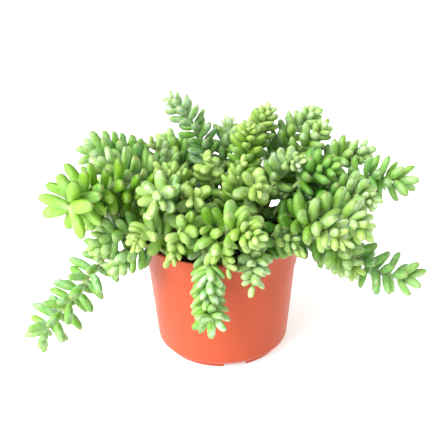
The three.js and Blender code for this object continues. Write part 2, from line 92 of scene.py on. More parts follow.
SHOOTS = {
    "left_reach": Shoot(
        [
            (-0.030, -0.015, 0.090), (-0.055, -0.022, 0.136), (-0.083, -0.034, 0.150),
            (-0.099, -0.049, 0.151), (-0.107, -0.068, 0.149),
        ],
        leaf=0.0255, plump=0.78, crowd=0.06, spread=86, tip_spread=78, bud=0.01, newest=1, lift=0, blue=0,
        pale=0.05, shade=0.25,
    ),
    "left_mid": Shoot(
        [(-0.028, -0.004, 0.090), (-0.046, -0.006, 0.135), (-0.068, -0.009, 0.153), (-0.090, -0.015, 0.157)],
        leaf=0.0225, crowd=0.07, spread=84, tip_spread=40, bud=0.014, newest=0.65, lift=0.15, blue=0.15,
        pale=0.6, shade=0.15,
    ),
    "left_trail": Shoot(
        [
            (-0.045, -0.022, 0.090), (-0.055, -0.027, 0.107), (-0.074, -0.034, 0.112),
            (-0.096, -0.040, 0.089), (-0.117, -0.041, 0.063), (-0.135, -0.041, 0.041),
            (-0.146, -0.040, 0.027),
        ],
        leaf=0.021, plump=0.8, crowd=0.12, spread=78, tip_spread=40, bud=0.014, newest=0.8, lift=0.1,
        blue=0.55, pale=0.35,
    ),
    "left_low": Shoot(
        [(-0.038, -0.033, 0.090), (-0.060, -0.044, 0.117), (-0.078, -0.051, 0.121), (-0.091, -0.055, 0.111)],
        crowd=0.08, spread=76, tip_spread=30, newest=0.55, blue=0.7, pale=0.3, shade=0.1,
    ),
    "left_upper": Shoot(
        [(-0.030, 0.010, 0.090), (-0.050, 0.014, 0.138), (-0.082, 0.018, 0.160), (-0.106, 0.020, 0.160)],
        leaf=0.021, crowd=0.07, spread=80, tip_spread=38, bud=0.016, newest=0.65, lift=0.2, blue=0.75,
        pale=0.45, shade=0.15,
    ),
    "left_crest": Shoot(
        [(-0.020, 0.018, 0.090), (-0.036, 0.024, 0.135), (-0.050, 0.028, 0.158), (-0.056, 0.026, 0.168)],
        leaf=0.017, plump=1.15, crowd=0.07, spread=70, newest=0.42, blue=0.1, pale=0.6, tender=1.4,
    ),
    "back_riser": Shoot(
        [(-0.008, 0.025, 0.090), (-0.008, 0.036, 0.140), (-0.021, 0.042, 0.176), (-0.040, 0.044, 0.199)],
        leaf=0.0175, crowd=0.12, spread=74, tip_spread=35, blue=0.7, pale=1, shade=0.2,
    ),
    "crown": Shoot(
        [(-0.005, 0.005, 0.090), (-0.005, 0.008, 0.125), (-0.008, 0.000, 0.152), (-0.010, -0.012, 0.166)],
        leaf=0.0155, plump=1.35, crowd=0.05, spread=80, tip_spread=42, bud=0.03, blue=0.05, tender=1.6,
    ),
    "knob_left": Shoot(
        [(-0.012, -0.012, 0.090), (-0.016, -0.020, 0.122), (-0.020, -0.042, 0.146), (-0.022, -0.058, 0.150)],
        leaf=0.016, plump=1.25, crowd=0.07, spread=80, tip_spread=40, bud=0.03, newest=0.58, blue=0.05,
        tender=1.6,
    ),
    "knob_right": Shoot(
        [(0.014, -0.008, 0.090), (0.020, -0.015, 0.131), (0.025, -0.034, 0.151), (0.030, -0.050, 0.151)],
        leaf=0.018, plump=1.2, crowd=0.055, spread=78, tip_spread=36, bud=0.034, blue=0.1, tender=1.4,
    ),
    "top_centre": Shoot(
        [(0.012, 0.012, 0.090), (0.018, 0.016, 0.130), (0.022, 0.019, 0.164), (0.024, 0.012, 0.186)],
        leaf=0.0185, crowd=0.09, bud=0.026, newest=0.34, blue=0, tender=1.3, shade=0.2,
    ),
    "top_mid": Shoot(
        [(0.012, 0.028, 0.090), (0.020, 0.034, 0.140), (0.032, 0.038, 0.172), (0.040, 0.036, 0.189)],
        leaf=0.019, crowd=0.09, tip_spread=22, blue=0.35, tender=1.3, shade=0.1,
    ),
    "top_right": Shoot(
        [(0.022, 0.030, 0.090), (0.038, 0.038, 0.135), (0.063, 0.045, 0.168), (0.078, 0.046, 0.184)],
        leaf=0.0185, crowd=0.1, tip_spread=25, newest=0.55, blue=0.45, pale=0.5, shade=0.3,
    ),
    "right_crest": Shoot(
        [(0.032, 0.022, 0.090), (0.050, 0.028, 0.135), (0.071, 0.032, 0.162), (0.084, 0.030, 0.175)],
        leaf=0.0185, crowd=0.1, tip_spread=30, newest=0.55, pale=0.35, shade=0.6,
    ),
    "right_knob": Shoot(
        [(0.025, 0.005, 0.090), (0.040, 0.004, 0.133), (0.054, -0.002, 0.156), (0.060, -0.016, 0.163)],
        leaf=0.0185, spread=76, tip_spread=30, newest=0.45, blue=0.1, pale=0.8, shade=0.2,
    ),
    "right_mid": Shoot(
        [(0.030, -0.002, 0.090), (0.052, -0.004, 0.130), (0.072, -0.008, 0.152), (0.086, -0.014, 0.157)],
        leaf=0.0215, crowd=0.08, spread=80, tip_spread=35, newest=0.6, lift=0, blue=0.8, pale=0, tender=0.3,
        shade=2,
    ),
    "right_riser": Shoot(
        [(0.038, 0.018, 0.090), (0.062, 0.022, 0.130), (0.094, 0.025, 0.150), (0.118, 0.025, 0.156)],
        leaf=0.02, crowd=0.085, spread=80, tip_spread=40, newest=0.6, lift=0.2, pale=0.5, shade=1.2,
    ),
    "right_far": Shoot(
        [(0.042, 0.005, 0.090), (0.075, 0.008, 0.122), (0.114, 0.009, 0.140), (0.144, 0.002, 0.140)],
        leaf=0.0205, plump=0.85, crowd=0.075, spread=84, tip_spread=22, bud=0.014, newest=0.85, lift=0,
        pale=0.25, shade=0.1,
    ),
    "right_low": Shoot(
        [(0.036, -0.009, 0.090), (0.064, -0.018, 0.127), (0.096, -0.030, 0.142), (0.113, -0.045, 0.140)],
        leaf=0.019, crowd=0.08, spread=78, tip_spread=25, newest=0.45, blue=0.55, pale=0.5, shade=1.8,
    ),
    "right_front": Shoot(
        [(0.032, -0.028, 0.090), (0.053, -0.042, 0.122), (0.080, -0.058, 0.138), (0.100, -0.074, 0.132)],
        leaf=0.022, crowd=0.08, spread=80, tip_spread=38, newest=0.55, blue=0.25, pale=0.4, shade=0.8,
    ),
    "right_fore": Shoot(
        [(0.026, -0.035, 0.090), (0.043, -0.050, 0.121), (0.062, -0.064, 0.134), (0.085, -0.080, 0.127)],
        leaf=0.0205, crowd=0.085, spread=76, tip_spread=22, blue=0.15, pale=0.6, tender=1.4, shade=1.2,
    ),
    "right_trail": Shoot(
        [
            (0.045, -0.015, 0.090), (0.055, -0.018, 0.107), (0.080, -0.026, 0.111), (0.106, -0.034, 0.089),
            (0.126, -0.038, 0.078), (0.145, -0.042, 0.075),
        ],
        plump=0.85, crowd=0.1, spread=80, tip_spread=22, bud=0.014, newest=0.85, lift=-0.05, blue=0.75,
        pale=0.2,
    ),
    "right_skirt": Shoot(
        [(0.040, -0.026, 0.090), (0.056, -0.034, 0.112), (0.080, -0.046, 0.108), (0.100, -0.054, 0.089)],
        leaf=0.0205, crowd=0.08, spread=78, tip_spread=30, lift=-0.1, blue=0.4, pale=0.5, shade=0.8,
    ),
    "front_bow": Shoot(
        [(0.012, -0.032, 0.090), (0.005, -0.050, 0.115), (0.007, -0.072, 0.134), (0.023, -0.094, 0.136)],
        leaf=0.0205, crowd=0.08, spread=76, tip_spread=25, blue=0.05, shade=0.3,
    ),
    "front_bud": Shoot(
        [(0.024, -0.042, 0.090), (0.024, -0.058, 0.104), (0.023, -0.073, 0.104), (0.022, -0.080, 0.091)],
        leaf=0.0165, plump=1.05, crowd=0.07, spread=74, tip_spread=34, newest=0.6, blue=0.3, pale=0.6,
        tender=1.3,
    ),
    "front_hang": Shoot(
        [
            (-0.014, -0.040, 0.090), (-0.014, -0.058, 0.110), (-0.009, -0.076, 0.108),
            (-0.010, -0.082, 0.095), (-0.010, -0.084, 0.083), (-0.009, -0.088, 0.076),
            (-0.008, -0.097, 0.074),
        ],
        leaf=0.0155, plump=0.86, crowd=0.06, spread=62, tip_spread=86, bud=0.005, newest=1.15, lift=0,
        blue=0.2, pale=0.7, tender=1.3,
    ),
    "front_row": Shoot(
        [(-0.002, -0.038, 0.090), (-0.006, -0.050, 0.122), (-0.008, -0.068, 0.132), (0.005, -0.083, 0.107)],
        leaf=0.0175, crowd=0.07, spread=78, lift=0, blue=0.2, tender=1.3, shade=1.4,
    ),
    "left_front": Shoot(
        [(-0.028, -0.032, 0.090), (-0.042, -0.048, 0.116), (-0.054, -0.062, 0.126), (-0.062, -0.076, 0.124)],
        leaf=0.019, plump=1.1, crowd=0.06, spread=80, tip_spread=16, bud=0.03, newest=0.45, blue=0.1,
        tender=1.3, shade=0.5,
    ),
    "left_curl": Shoot(
        [(-0.028, -0.022, 0.090), (-0.036, -0.034, 0.126), (-0.043, -0.050, 0.149), (-0.047, -0.063, 0.152)],
        leaf=0.022, crowd=0.09, spread=76, tip_spread=46, bud=0.016, newest=0.6, pale=0.45, tender=1.3,
        shade=0.2,
    ),
    "left_row": Shoot(
        [(-0.022, -0.034, 0.090), (-0.024, -0.050, 0.122), (-0.029, -0.066, 0.131), (-0.037, -0.080, 0.113)],
        leaf=0.0175, plump=1.1, crowd=0.06, spread=80, bud=0.03, newest=0.45, lift=-0.05, blue=0.15,
        tender=1.3, shade=0.4,
    ),
    "left_skirt": Shoot(
        [(-0.036, -0.040, 0.090), (-0.050, -0.047, 0.109), (-0.066, -0.053, 0.108), (-0.080, -0.056, 0.096)],
        leaf=0.0185, crowd=0.085, spread=76, tip_spread=30, newest=0.6, lift=-0.1, blue=0.8, pale=0.4,
        shade=0.4,
    ),
    "mid_left": Shoot(
        [(-0.020, -0.005, 0.090), (-0.028, -0.008, 0.125), (-0.038, -0.012, 0.148), (-0.046, -0.020, 0.157)],
        crowd=0.085, tip_spread=22, newest=0.55, blue=0.2, tender=1.3, shade=0.2,
    ),
    "mid_centre": Shoot(
        [(0.004, -0.018, 0.090), (0.008, -0.020, 0.125), (0.013, -0.018, 0.148), (0.017, -0.016, 0.162)],
        leaf=0.0165, crowd=0.085, spread=70, blue=0, tender=1.4, shade=0.2,
    ),
    "right_drop": Shoot(
        [(0.030, -0.038, 0.090), (0.040, -0.050, 0.110), (0.049, -0.060, 0.118), (0.057, -0.066, 0.112)],
        leaf=0.0155, spread=76, lift=0, pale=0.3, shade=0.5,
    ),
    "back_west": Shoot(
        [(-0.030, 0.030, 0.090), (-0.050, 0.046, 0.130), (-0.072, 0.064, 0.138), (-0.088, 0.078, 0.121)],
        newest=0.45, blue=0.35, pale=0.3, shade=0.2,
    ),
    "back_north_west": Shoot(
        [(-0.015, 0.038, 0.090), (-0.022, 0.058, 0.130), (-0.031, 0.082, 0.138), (-0.038, 0.097, 0.120)],
        newest=0.45, pale=0.3, shade=0.5,
    ),
    "back_hang": Shoot(
        [(0.008, 0.042, 0.090), (0.010, 0.058, 0.112), (0.012, 0.080, 0.109), (0.014, 0.091, 0.076)],
        leaf=0.018, crowd=0.15, lift=0, blue=0.35, pale=0.3, shade=0.5,
    ),
    "back_north_east": Shoot(
        [(0.028, 0.036, 0.090), (0.042, 0.054, 0.130), (0.057, 0.076, 0.138), (0.068, 0.091, 0.122)],
        newest=0.4, pale=0.3, shade=0.5,
    ),
    "back_east": Shoot(
        [
            (0.042, 0.028, 0.090), (0.051, 0.034, 0.107), (0.072, 0.045, 0.120), (0.098, 0.058, 0.116),
            (0.115, 0.066, 0.096),
        ],
        crowd=0.15, blue=0.6, pale=0.3, shade=0.5,
    ),
    "back_trail": Shoot(
        [(-0.042, 0.018, 0.090), (-0.072, 0.032, 0.116), (-0.098, 0.044, 0.110), (-0.112, 0.050, 0.088)],
        leaf=0.021, crowd=0.1, newest=0.7, blue=0.35, pale=0.3, shade=0.5,
    ),
    "back_top": Shoot(
        [(0.000, 0.028, 0.090), (0.004, 0.043, 0.140), (0.006, 0.057, 0.163), (0.008, 0.070, 0.171)],
        leaf=0.0175, newest=0.4, blue=0.35, pale=0.6, shade=0.5,
    ),
    "back_dome": Shoot(
        [(-0.018, 0.032, 0.090), (-0.030, 0.050, 0.138), (-0.044, 0.064, 0.154), (-0.054, 0.076, 0.152)],
        leaf=0.018, newest=0.4, pale=0.3, shade=0.1,
    ),
}

# ------------------------------------------------------------------ settings

LENGTH = {"subtype": "DISTANCE", "unit": "LENGTH", "precision": 4}
COLOUR = {"subtype": "COLOR", "size": 3, "min": 0, "max": 1}


class BurroPotSettings(bpy.types.PropertyGroup):
    """Sizes and colour of the nursery pot."""

    rim_radius: FloatProperty(
        name="Rim radius",
        description="Outside radius of the rolled lip",
        default=(POT_HIGH.x - POT_LOW.x) / 2,
        **LENGTH,
    )
    height: FloatProperty(
        name="Height",
        description="From the surface it stands on to the top of the lip",
        default=POT_HIGH.z,
        **LENGTH,
    )
    wall: FloatProperty(name="Wall", description="Thickness of the plastic", default=0.0013, **LENGTH)
    wall_foot: FloatProperty(
        name="Foot of the wall",
        description="Radius where the straight side meets the rounded heel",
        default=0.0555,
        **LENGTH,
    )
    band_height: FloatProperty(
        name="Band height",
        description="Height of the stepped band under the lip",
        default=0.024,
        **LENGTH,
    )
    plastic: FloatVectorProperty(
        name="Plastic", description="Colour of the pot", default=(0.435, 0.075, 0.032), **COLOUR
    )


class BurroSoilSettings(bpy.types.PropertyGroup):
    """Surface of the potting soil."""

    crumb: FloatProperty(
        name="Crumb", description="Radius of an average crumb of peat", default=0.0011, **LENGTH
    )
    crumbs_per_area: FloatProperty(
        name="Crumbs", description="Crumbs on a square metre of surface", default=120000, min=0
    )
    peat: FloatVectorProperty(
        name="Peat", description="Colour of the moist peat", default=(0.030, 0.018, 0.011), **COLOUR
    )


class BurroShootSettings(bpy.types.PropertyGroup):
    """Growth and colours of the shoots."""

    stem_radius: FloatProperty(
        name="Stem radius", description="Radius of a stem at the soil", default=0.0019, **LENGTH
    )
    plumpness: FloatProperty(
        name="Plumpness",
        description="Half the width of a grown leaf over its length",
        default=0.235,
        subtype="FACTOR",
    )
    unevenness: FloatProperty(
        name="Unevenness",
        description="How far the skin of the leaves swells and dips",
        default=0.00022,
        subtype="DISTANCE",
        unit="LENGTH",
        precision=5,
    )
    seed: IntProperty(name="Seed", description="Seed of everything random in the shoots", default=7)
    grown_leaf: FloatVectorProperty(
        name="Grown leaf", description="Colour of a grown leaf", default=(0.205, 0.450, 0.008), **COLOUR
    )
    young_leaf: FloatVectorProperty(
        name="Young leaf",
        description="Colour of a young leaf at a tip",
        default=(0.385, 0.535, 0.115),
        **COLOUR,
    )


class BurroStageSettings(bpy.types.PropertyGroup):
    """Floor, light and camera."""

    floor_colour: FloatVectorProperty(
        name="Floor", description="Colour of the floor", default=(0.86, 0.86, 0.86), **COLOUR
    )
    key_power: FloatProperty(
        name="Key light", description="Strength of the soft light from the upper left", default=4.05
    )
    surround: FloatProperty(
        name="Surround", description="Strength of the light from all around", default=1.27
    )


SETTINGS = {
    "burro_pot": BurroPotSettings,
    "burro_soil": BurroSoilSettings,
    "burro_shoots": BurroShootSettings,
    "burro_stage": BurroStageSettings,
}

# ------------------------------------------------------------------ mesh helpers


def add_object(name, data):
    """Puts a mesh, a light or a camera in the scene as an object at the origin."""
    made = bpy.data.objects.new(name, data)
    bpy.context.scene.collection.objects.link(made)
    return made


def mesh_from(name, vertices, faces):
    mesh = bpy.data.meshes.new(name)
    mesh.from_pydata([tuple(v) for v in vertices], [], faces)
    mesh.validate()
    return mesh


def finished_mesh(name, made):
    """The plain mesh of what was built with bmesh, which is freed."""
    mesh = bpy.data.meshes.new(name)
    made.to_mesh(mesh)
    made.free()
    return mesh


def set_values(mesh, name, values):
    """Stores one number for each point of a mesh."""
    mesh.attributes.new(name, "FLOAT", "POINT").data.foreach_set("value", values)


def bake_modifiers(made):
    """Turns an object's evaluated shape into its plain mesh, with no modifier left."""
    bpy.context.view_layer.update()
    graph = bpy.context.evaluated_depsgraph_get()
    shape = made.evaluated_get(graph)
    plain = bpy.data.meshes.new_from_object(shape, preserve_all_data_layers=True, depsgraph=graph)
    made.modifiers.clear()
    made.data = plain
    plain.name = made.name


def smooth(mesh, sharp_degrees=180):
    """Smooth shading, with a crease wherever faces meet at more than that angle."""
    mesh.polygons.foreach_set("use_smooth", [True] * len(mesh.polygons))
    if sharp_degrees < 180:
        mesh.set_sharp_from_angle(angle=math.radians(sharp_degrees))


def turned_mesh(name, outline, sides):
    """A closed body of revolution about +Z from a closed outline of (radius, height) pairs."""
    made = bmesh.new()
    rings = []
    for radius, height in outline:
        if radius < TINY:
            rings.append([made.verts.new((0, 0, height))])
            continue
        angles = [TURN * i / sides for i in range(sides)]
        rings.append([made.verts.new((radius * math.cos(a), radius * math.sin(a), height)) for a in angles])
    for low, high in zip(rings, rings[1:]):
        for i in range(sides):
            j = (i + 1) % sides
            if len(low) > 1 and len(high) > 1:
                made.faces.new((low[i], low[j], high[j], high[i]))
            elif len(high) > 1:
                made.faces.new((low[0], high[j], high[i]))
            elif len(low) > 1:
                made.faces.new((low[i], low[j], high[0]))
    bmesh.ops.remove_doubles(made, verts=made.verts, dist=1e-7)
    bmesh.ops.recalc_face_normals(made, faces=made.faces)
    return finished_mesh(name, made)


def arc(centre_r, centre_z, radius, start, end, steps):
    """Points of an arc in the (radius, height) plane, angles in degrees."""
    points = []
    for i in range(steps + 1):
        angle = math.radians(start + (end - start) * i / steps)
        points.append((centre_r + radius * math.cos(angle), centre_z + radius * math.sin(angle)))
    return points


# ------------------------------------------------------------------ node helpers


class Nodes:
    """Short way to add and join nodes in a tree."""

    def __init__(self, tree):
        self.tree = tree

    def feed(self, node, inputs):
        """Sets or links a node's inputs."""
        for socket, value in dict(inputs).items():
            target = node.inputs[socket]
            if isinstance(value, bpy.types.NodeSocket):
                self.tree.links.new(value, target)
            else:
                target.default_value = value

    def add(self, kind, inputs=(), **settings):
        """Adds a node, sets its properties, and sets or links its inputs."""
        node = self.tree.nodes.new(kind)
        for key, value in settings.items():
            setattr(node, key, value)
        self.feed(node, inputs)
        return node

    def math(self, operation, a, b=0.0, clamp=False):
        return self.add("ShaderNodeMath", {0: a, 1: b}, operation=operation, use_clamp=clamp).outputs[0]

    def product(self, first, *others):
        """All the values multiplied."""
        for other in others:
            first = self.math("MULTIPLY", first, other)
        return first

    def spread(self, value, low, high, to_low=0.0, to_high=1.0):
        """Maps low..high to to_low..to_high, held at the ends."""
        inputs = {"Value": value, "From Min": low, "From Max": high, "To Min": to_low, "To Max": to_high}
        return self.add("ShaderNodeMapRange", inputs, clamp=True).outputs[0]

    def blend(self, factor, a, b):
        """Mixes two colours."""
        a, b = (rgba(colour) if isinstance(colour, tuple) else colour for colour in (a, b))
        inputs = {0: factor, 6: a, 7: b}
        return self.add("ShaderNodeMix", inputs, data_type="RGBA").outputs[2]

    def ramp(self, factor, stops):
        """A colour ramp from (position, colour) stops."""
        node = self.add("ShaderNodeValToRGB", {"Fac": factor})
        ramp = node.color_ramp
        while len(ramp.elements) < len(stops):
            ramp.elements.new(0.5)
        for element, (position, colour) in zip(ramp.elements, stops):
            element.position = position
            element.color = rgba(colour)
        return node.outputs["Color"]

    def noise(self, vector, scale, detail=2.0, roughness=0.5, output="Fac"):
        inputs = {"Vector": vector, "Scale": scale, "Detail": detail, "Roughness": roughness}
        return self.add("ShaderNodeTexNoise", inputs).outputs[output]

    def stretched(self, vector, scale):
        return self.add("ShaderNodeMapping", {"Vector": vector, "Scale": scale}).outputs[0]

    def bump(self, height, strength, distance, **under):
        inputs = {"Strength": strength, "Distance": distance, "Height": height, **under}
        return self.add("ShaderNodeBump", inputs).outputs[0]

    def attribute(self, name):
        return self.add("ShaderNodeAttribute", attribute_name=name).outputs["Fac"]

    def named(self, name, kind):
        """A named attribute in a geometry node tree."""
        node = self.add("GeometryNodeInputNamedAttribute", {"Name": name}, data_type=kind)
        return node.outputs["Attribute"]

    def joined(self, *pieces):
        """Geometries joined in the order given."""
        node = self.add("GeometryNodeJoinGeometry")
        for piece in pieces:
            self.tree.links.new(piece, node.inputs["Geometry"])
        return node.outputs["Geometry"]


def rgba(colour):
    return (*colour[:3], 1.0)


def tinted(colour, factor):
    """A colour made lighter or darker by a factor."""
    return tuple(min(1.0, c * factor) for c in colour[:3])


def new_material(name):
    """A material with only its surface shader: returns it, its nodes, the shader and the
    object's coordinates."""
    material = bpy.data.materials.new(name)
    material.use_nodes = True
    material.node_tree.nodes.clear()
    nodes = Nodes(material.node_tree)
    shader = nodes.add("ShaderNodeBsdfPrincipled")
    nodes.add("ShaderNodeOutputMaterial", {"Surface": shader.outputs["BSDF"]})
    return material, nodes, shader, nodes.add("ShaderNodeTexCoord").outputs["Object"]


# ------------------------------------------------------------------ materials

WARMER_PLASTIC = (0.49, 0.082, 0.030)
SCUFFED_PLASTIC = (0.52, 0.15, 0.085)
PEAT_FIBRE = (0.16, 0.095, 0.05)
LEAF_YELLOW_FOOT = (0.42, 0.58, 0.24)
LEAF_COOL_FOOT = (0.34, 0.52, 0.30)
LEAF_YELLOW_TIP = (0.19, 0.25, 0.06)
LEAF_COOL_TIP = (0.13, 0.21, 0.06)
LEAF_LIGHT_MOTTLE = (0.40, 0.55, 0.05)
LEAF_DARK_MOTTLE = (0.07, 0.19, 0.016)
LEAF_BLOOM = (0.63, 0.75, 0.66)
# painted shade for the sides of a leaf
LEAF_PAINTED_SIDE_SHADE = (0.10, 0.235, 0.014)
# painted shade for the leaves near the heart of the plant, where the leaves around them shade them
LEAF_PAINTED_INNER_SHADE = (0.034, 0.162, 0.002)  # near the heart of the plant
# painted shade for the leaves far from their shoot's tip, down under the canopy
LEAF_PAINTED_DEEP_SHADE = (0.022, 0.118, 0.003)
LEAF_DOT = (0.27, 0.19, 0.07)
COOLING = (0.58, 0.84, 9.0)  # what turns the grown colour into its blue-green one
STEM_WOOD = (0.17, 0.11, 0.05)
STEM_RIPE = (0.20, 0.26, 0.07)
STEM_GREEN = (0.34, 0.48, 0.14)
STEM_STREAK = (0.44, 0.46, 0.20)
WHITE = (1.0, 1.0, 1.0)
FLOOR_GLOW = 0.46  # the floor is a light table, which keeps shadows on it faint


def plastic_material(colour):
    """Satin injection-moulded plastic with faint flow marks, fine grain and small scuffs."""
    material, nodes, shader, place = new_material("pot_plastic")
    flow = nodes.noise(nodes.stretched(place, (1.0, 1.0, 0.12)), 46.0, 3.0)
    cloud = nodes.noise(place, 14.0, 2.0)
    grain = nodes.noise(place, 2600.0, 2.0)
    scuff = nodes.noise(nodes.stretched(place, (1, 1, 6)), 190.0, 4.0)
    base = nodes.blend(nodes.spread(flow, 0.35, 0.65), tinted(colour, 0.93), tinted(colour, 1.04))
    base = nodes.blend(nodes.spread(cloud, 0.40, 0.75, 0.0, 0.25), base, WARMER_PLASTIC)
    base = nodes.blend(nodes.spread(scuff, 0.66, 0.80, 0.0, 0.35), base, SCUFFED_PLASTIC)
    rough = nodes.bump(grain, 0.12, 0.0002)
    surface = {
        "Base Color": base,
        "Roughness": nodes.spread(scuff, 0.45, 0.75, 0.30, 0.46),
        "Normal": nodes.bump(flow, 0.25, 0.0006, Normal=rough),
        "Specular IOR Level": 0.14,
        "Subsurface Weight": 0.12,
        "Subsurface Radius": (1.0, 0.35, 0.2),
        "Subsurface Scale": 0.0015,
    }
    nodes.feed(shader, surface)
    return material


def peat_material(colour):
    """Dark moist peat with paler fibres and wet glints."""
    material, nodes, shader, place = new_material("peat")
    lumps = nodes.noise(place, 260.0, 6.0, 0.6)
    fibre = nodes.noise(nodes.stretched(place, (1.0, 0.2, 1.0)), 900.0, 3.0)
    base = nodes.blend(nodes.spread(lumps, 0.35, 0.7), tinted(colour, 0.5), tinted(colour, 2.2))
    surface = {
        "Base Color": nodes.blend(nodes.spread(fibre, 0.62, 0.72, 0.0, 0.6), base, PEAT_FIBRE),
        "Roughness": nodes.spread(lumps, 0.3, 0.7, 0.95, 0.7),
        "Normal": nodes.bump(lumps, 0.8, 0.001),
    }
    nodes.feed(shader, surface)
    return material


def grown_ramp(nodes, along, foot, body, light, dark, tip):
    """Colours of a grown leaf from its pale foot to its dusky tip."""
    stops = [(0.0, foot), (0.28, tinted(body, light)), (0.72, body), (0.90, tinted(body, dark)), (1.0, tip)]
    return nodes.ramp(along, stops)


def leaf_material(grown, young):
    """Succulent leaf: pale foot, deeper middle, a whitish bloom, and a rosy dot on some tips, with painted
    shade along its sides, near the heart of the plant and far from the tips.
    """
    material, nodes, shader, place = new_material("leaf")
    names = ("along", "age", "blue", "pale", "tint", "outer", "deep", "edge")
    along, age, blue, pale, tint, outer, deep, edge = (nodes.attribute(name) for name in names)
    mottle = nodes.noise(place, 230.0, 3.0)
    grain = nodes.noise(place, 1500.0, 2.0)
    drift = nodes.noise(place, 55.0, 1.0)

    tones = ((0.0, 0.95), (0.3, 0.84), (0.8, 1.0), (1.0, 0.86))
    young_side = nodes.ramp(along, [(position, tinted(young, tone)) for position, tone in tones])
    cool = tuple(part * change for part, change in zip(grown, COOLING))
    yellow_side = grown_ramp(nodes, along, LEAF_YELLOW_FOOT, grown, 1.08, 0.86, LEAF_YELLOW_TIP)
    cool_side = grown_ramp(nodes, along, LEAF_COOL_FOOT, cool, 1.05, 0.84, LEAF_COOL_TIP)
    coolness = nodes.math(
        "ADD", nodes.spread(drift, 0.35, 0.65, -0.3, 0.3), nodes.spread(tint, 0, 1, -0.4, 0.4)
    )
    grown_side = nodes.blend(nodes.math("ADD", blue, coolness, True), yellow_side, cool_side)
    base = nodes.blend(nodes.spread(age, 0.0, 1.0), young_side, grown_side)

    shade = nodes.math(
        "ADD", nodes.spread(mottle, 0.3, 0.7, -0.5, 0.5), nodes.spread(tint, 0.0, 1.0, -0.5, 0.5)
    )
    base = nodes.blend(nodes.spread(shade, 0.0, 1.0, 0.0, 0.40), base, LEAF_LIGHT_MOTTLE)
    base = nodes.blend(nodes.spread(shade, 0.0, -1.0, 0.0, 0.45), base, LEAF_DARK_MOTTLE)
    # the bloom fades where painted shade darkens a leaf
    bloom = nodes.product(
        nodes.spread(mottle, 0.30, 0.65),
        nodes.spread(pale, 0, 1, 0.05, 0.8),
        nodes.spread(edge, 0.5, 1.0, 1.0, 0.35),
        nodes.spread(drift, 0.35, 0.65, 0.5, 1.5),
        nodes.spread(deep, 0.0, 0.5, 1.0, 0.1),
    )
    base = nodes.blend(bloom, base, LEAF_BLOOM)
    # painted shade along the sides of each leaf, stronger on grown leaves
    rim = nodes.product(nodes.spread(edge, 0.6, 1.0, 0.0, 0.42), nodes.spread(age, 0.0, 1.0, 0.35, 1.0))
    base = nodes.blend(rim, base, LEAF_PAINTED_SIDE_SHADE)
    # painted shade: leaves near the heart of the plant are coloured darker
    base = nodes.blend(nodes.spread(outer, 0.85, 0.35, 0.0, 0.7), base, LEAF_PAINTED_INNER_SHADE)
    # painted shade on the leaves far from their shoot's tip
    base = nodes.blend(nodes.spread(deep, 0.0, 1.0, 0.0, 0.95), base, LEAF_PAINTED_DEEP_SHADE)
    dot = nodes.product(nodes.spread(along, 0.93, 1.0), nodes.spread(tint, 0.35, 0.95, 0.0, 0.5))
    surface = {
        "Base Color": nodes.blend(dot, base, LEAF_DOT),
        "Roughness": nodes.spread(mottle, 0.3, 0.7, 0.28, 0.46),
        "Normal": nodes.bump(grain, 0.18, 0.0003),
        "Subsurface Weight": 0.22,
        "Subsurface Radius": (0.75, 1.0, 0.25),
        "Subsurface Scale": 0.0025,
        "Specular IOR Level": 0.40,
    }
    nodes.feed(shader, surface)
    return material


def stem_material():
    """Pale green stem that turns woody towards the soil."""
    material, nodes, shader, place = new_material("stem")
    streak = nodes.noise(place, 420.0, 3.0)
    stops = [(0.0, STEM_WOOD), (0.3, STEM_RIPE), (1.0, STEM_GREEN)]
    colour = nodes.ramp(nodes.attribute("rise"), stops)
    surface = {
        "Base Color": nodes.blend(nodes.spread(streak, 0.4, 0.7, 0.0, 0.5), colour, STEM_STREAK),
        "Roughness": nodes.spread(streak, 0.3, 0.7, 0.45, 0.65),
        "Normal": nodes.bump(streak, 0.4, 0.0004),
        "Subsurface Weight": 0.15,
        "Subsurface Radius": (0.7, 1.0, 0.3),
        "Subsurface Scale": 0.001,
    }
    nodes.feed(shader, surface)
    return material


def floor_material(colour):
    """Matt seamless paper with a barely visible tooth."""
    material, nodes, shader, place = new_material("floor_paper")
    tooth = nodes.noise(place, 90.0, 3.0)
    surface = {
        "Base Color": nodes.blend(nodes.spread(tooth, 0.3, 0.7), tinted(colour, 0.992), tinted(colour, 1)),
        "Roughness": nodes.spread(tooth, 0.3, 0.7, 0.85, 0.95),
        "Emission Color": rgba(WHITE),
        "Emission Strength": FLOOR_GLOW,
    }
    nodes.feed(shader, surface)
    return material


# ------------------------------------------------------------------ geometry node trees


def new_geometry_tree(name, sockets):
    """A geometry node tree with named inputs. Returns its node helper, its group input, and the
    identifier of each input."""
    tree = bpy.data.node_groups.new(name, "GeometryNodeTree")
    tree.interface.new_socket("Geometry", in_out="INPUT", socket_type="NodeSocketGeometry")
    identifiers = {}
    for label, kind in sockets.items():
        item = tree.interface.new_socket(label, in_out="INPUT", socket_type="NodeSocket" + kind)
        identifiers[label] = item.identifier
    tree.interface.new_socket("Geometry", in_out="OUTPUT", socket_type="NodeSocketGeometry")
    nodes = Nodes(tree)
    return nodes, nodes.add("NodeGroupInput").outputs, identifiers


def grow_with(made, nodes, identifiers, values):
    """Runs a geometry node tree on an object and keeps the result as its plain mesh."""
    modifier = made.modifiers.new(nodes.tree.name, "NODES")
    modifier.node_group = nodes.tree
    for label, value in values.items():
        modifier[identifiers[label]] = value
    return bake_modifiers(made)


SWELL_SCALE = 150.0
SWELL_GAIN = 4.0  # the noise strays from its middle by up to about a quarter


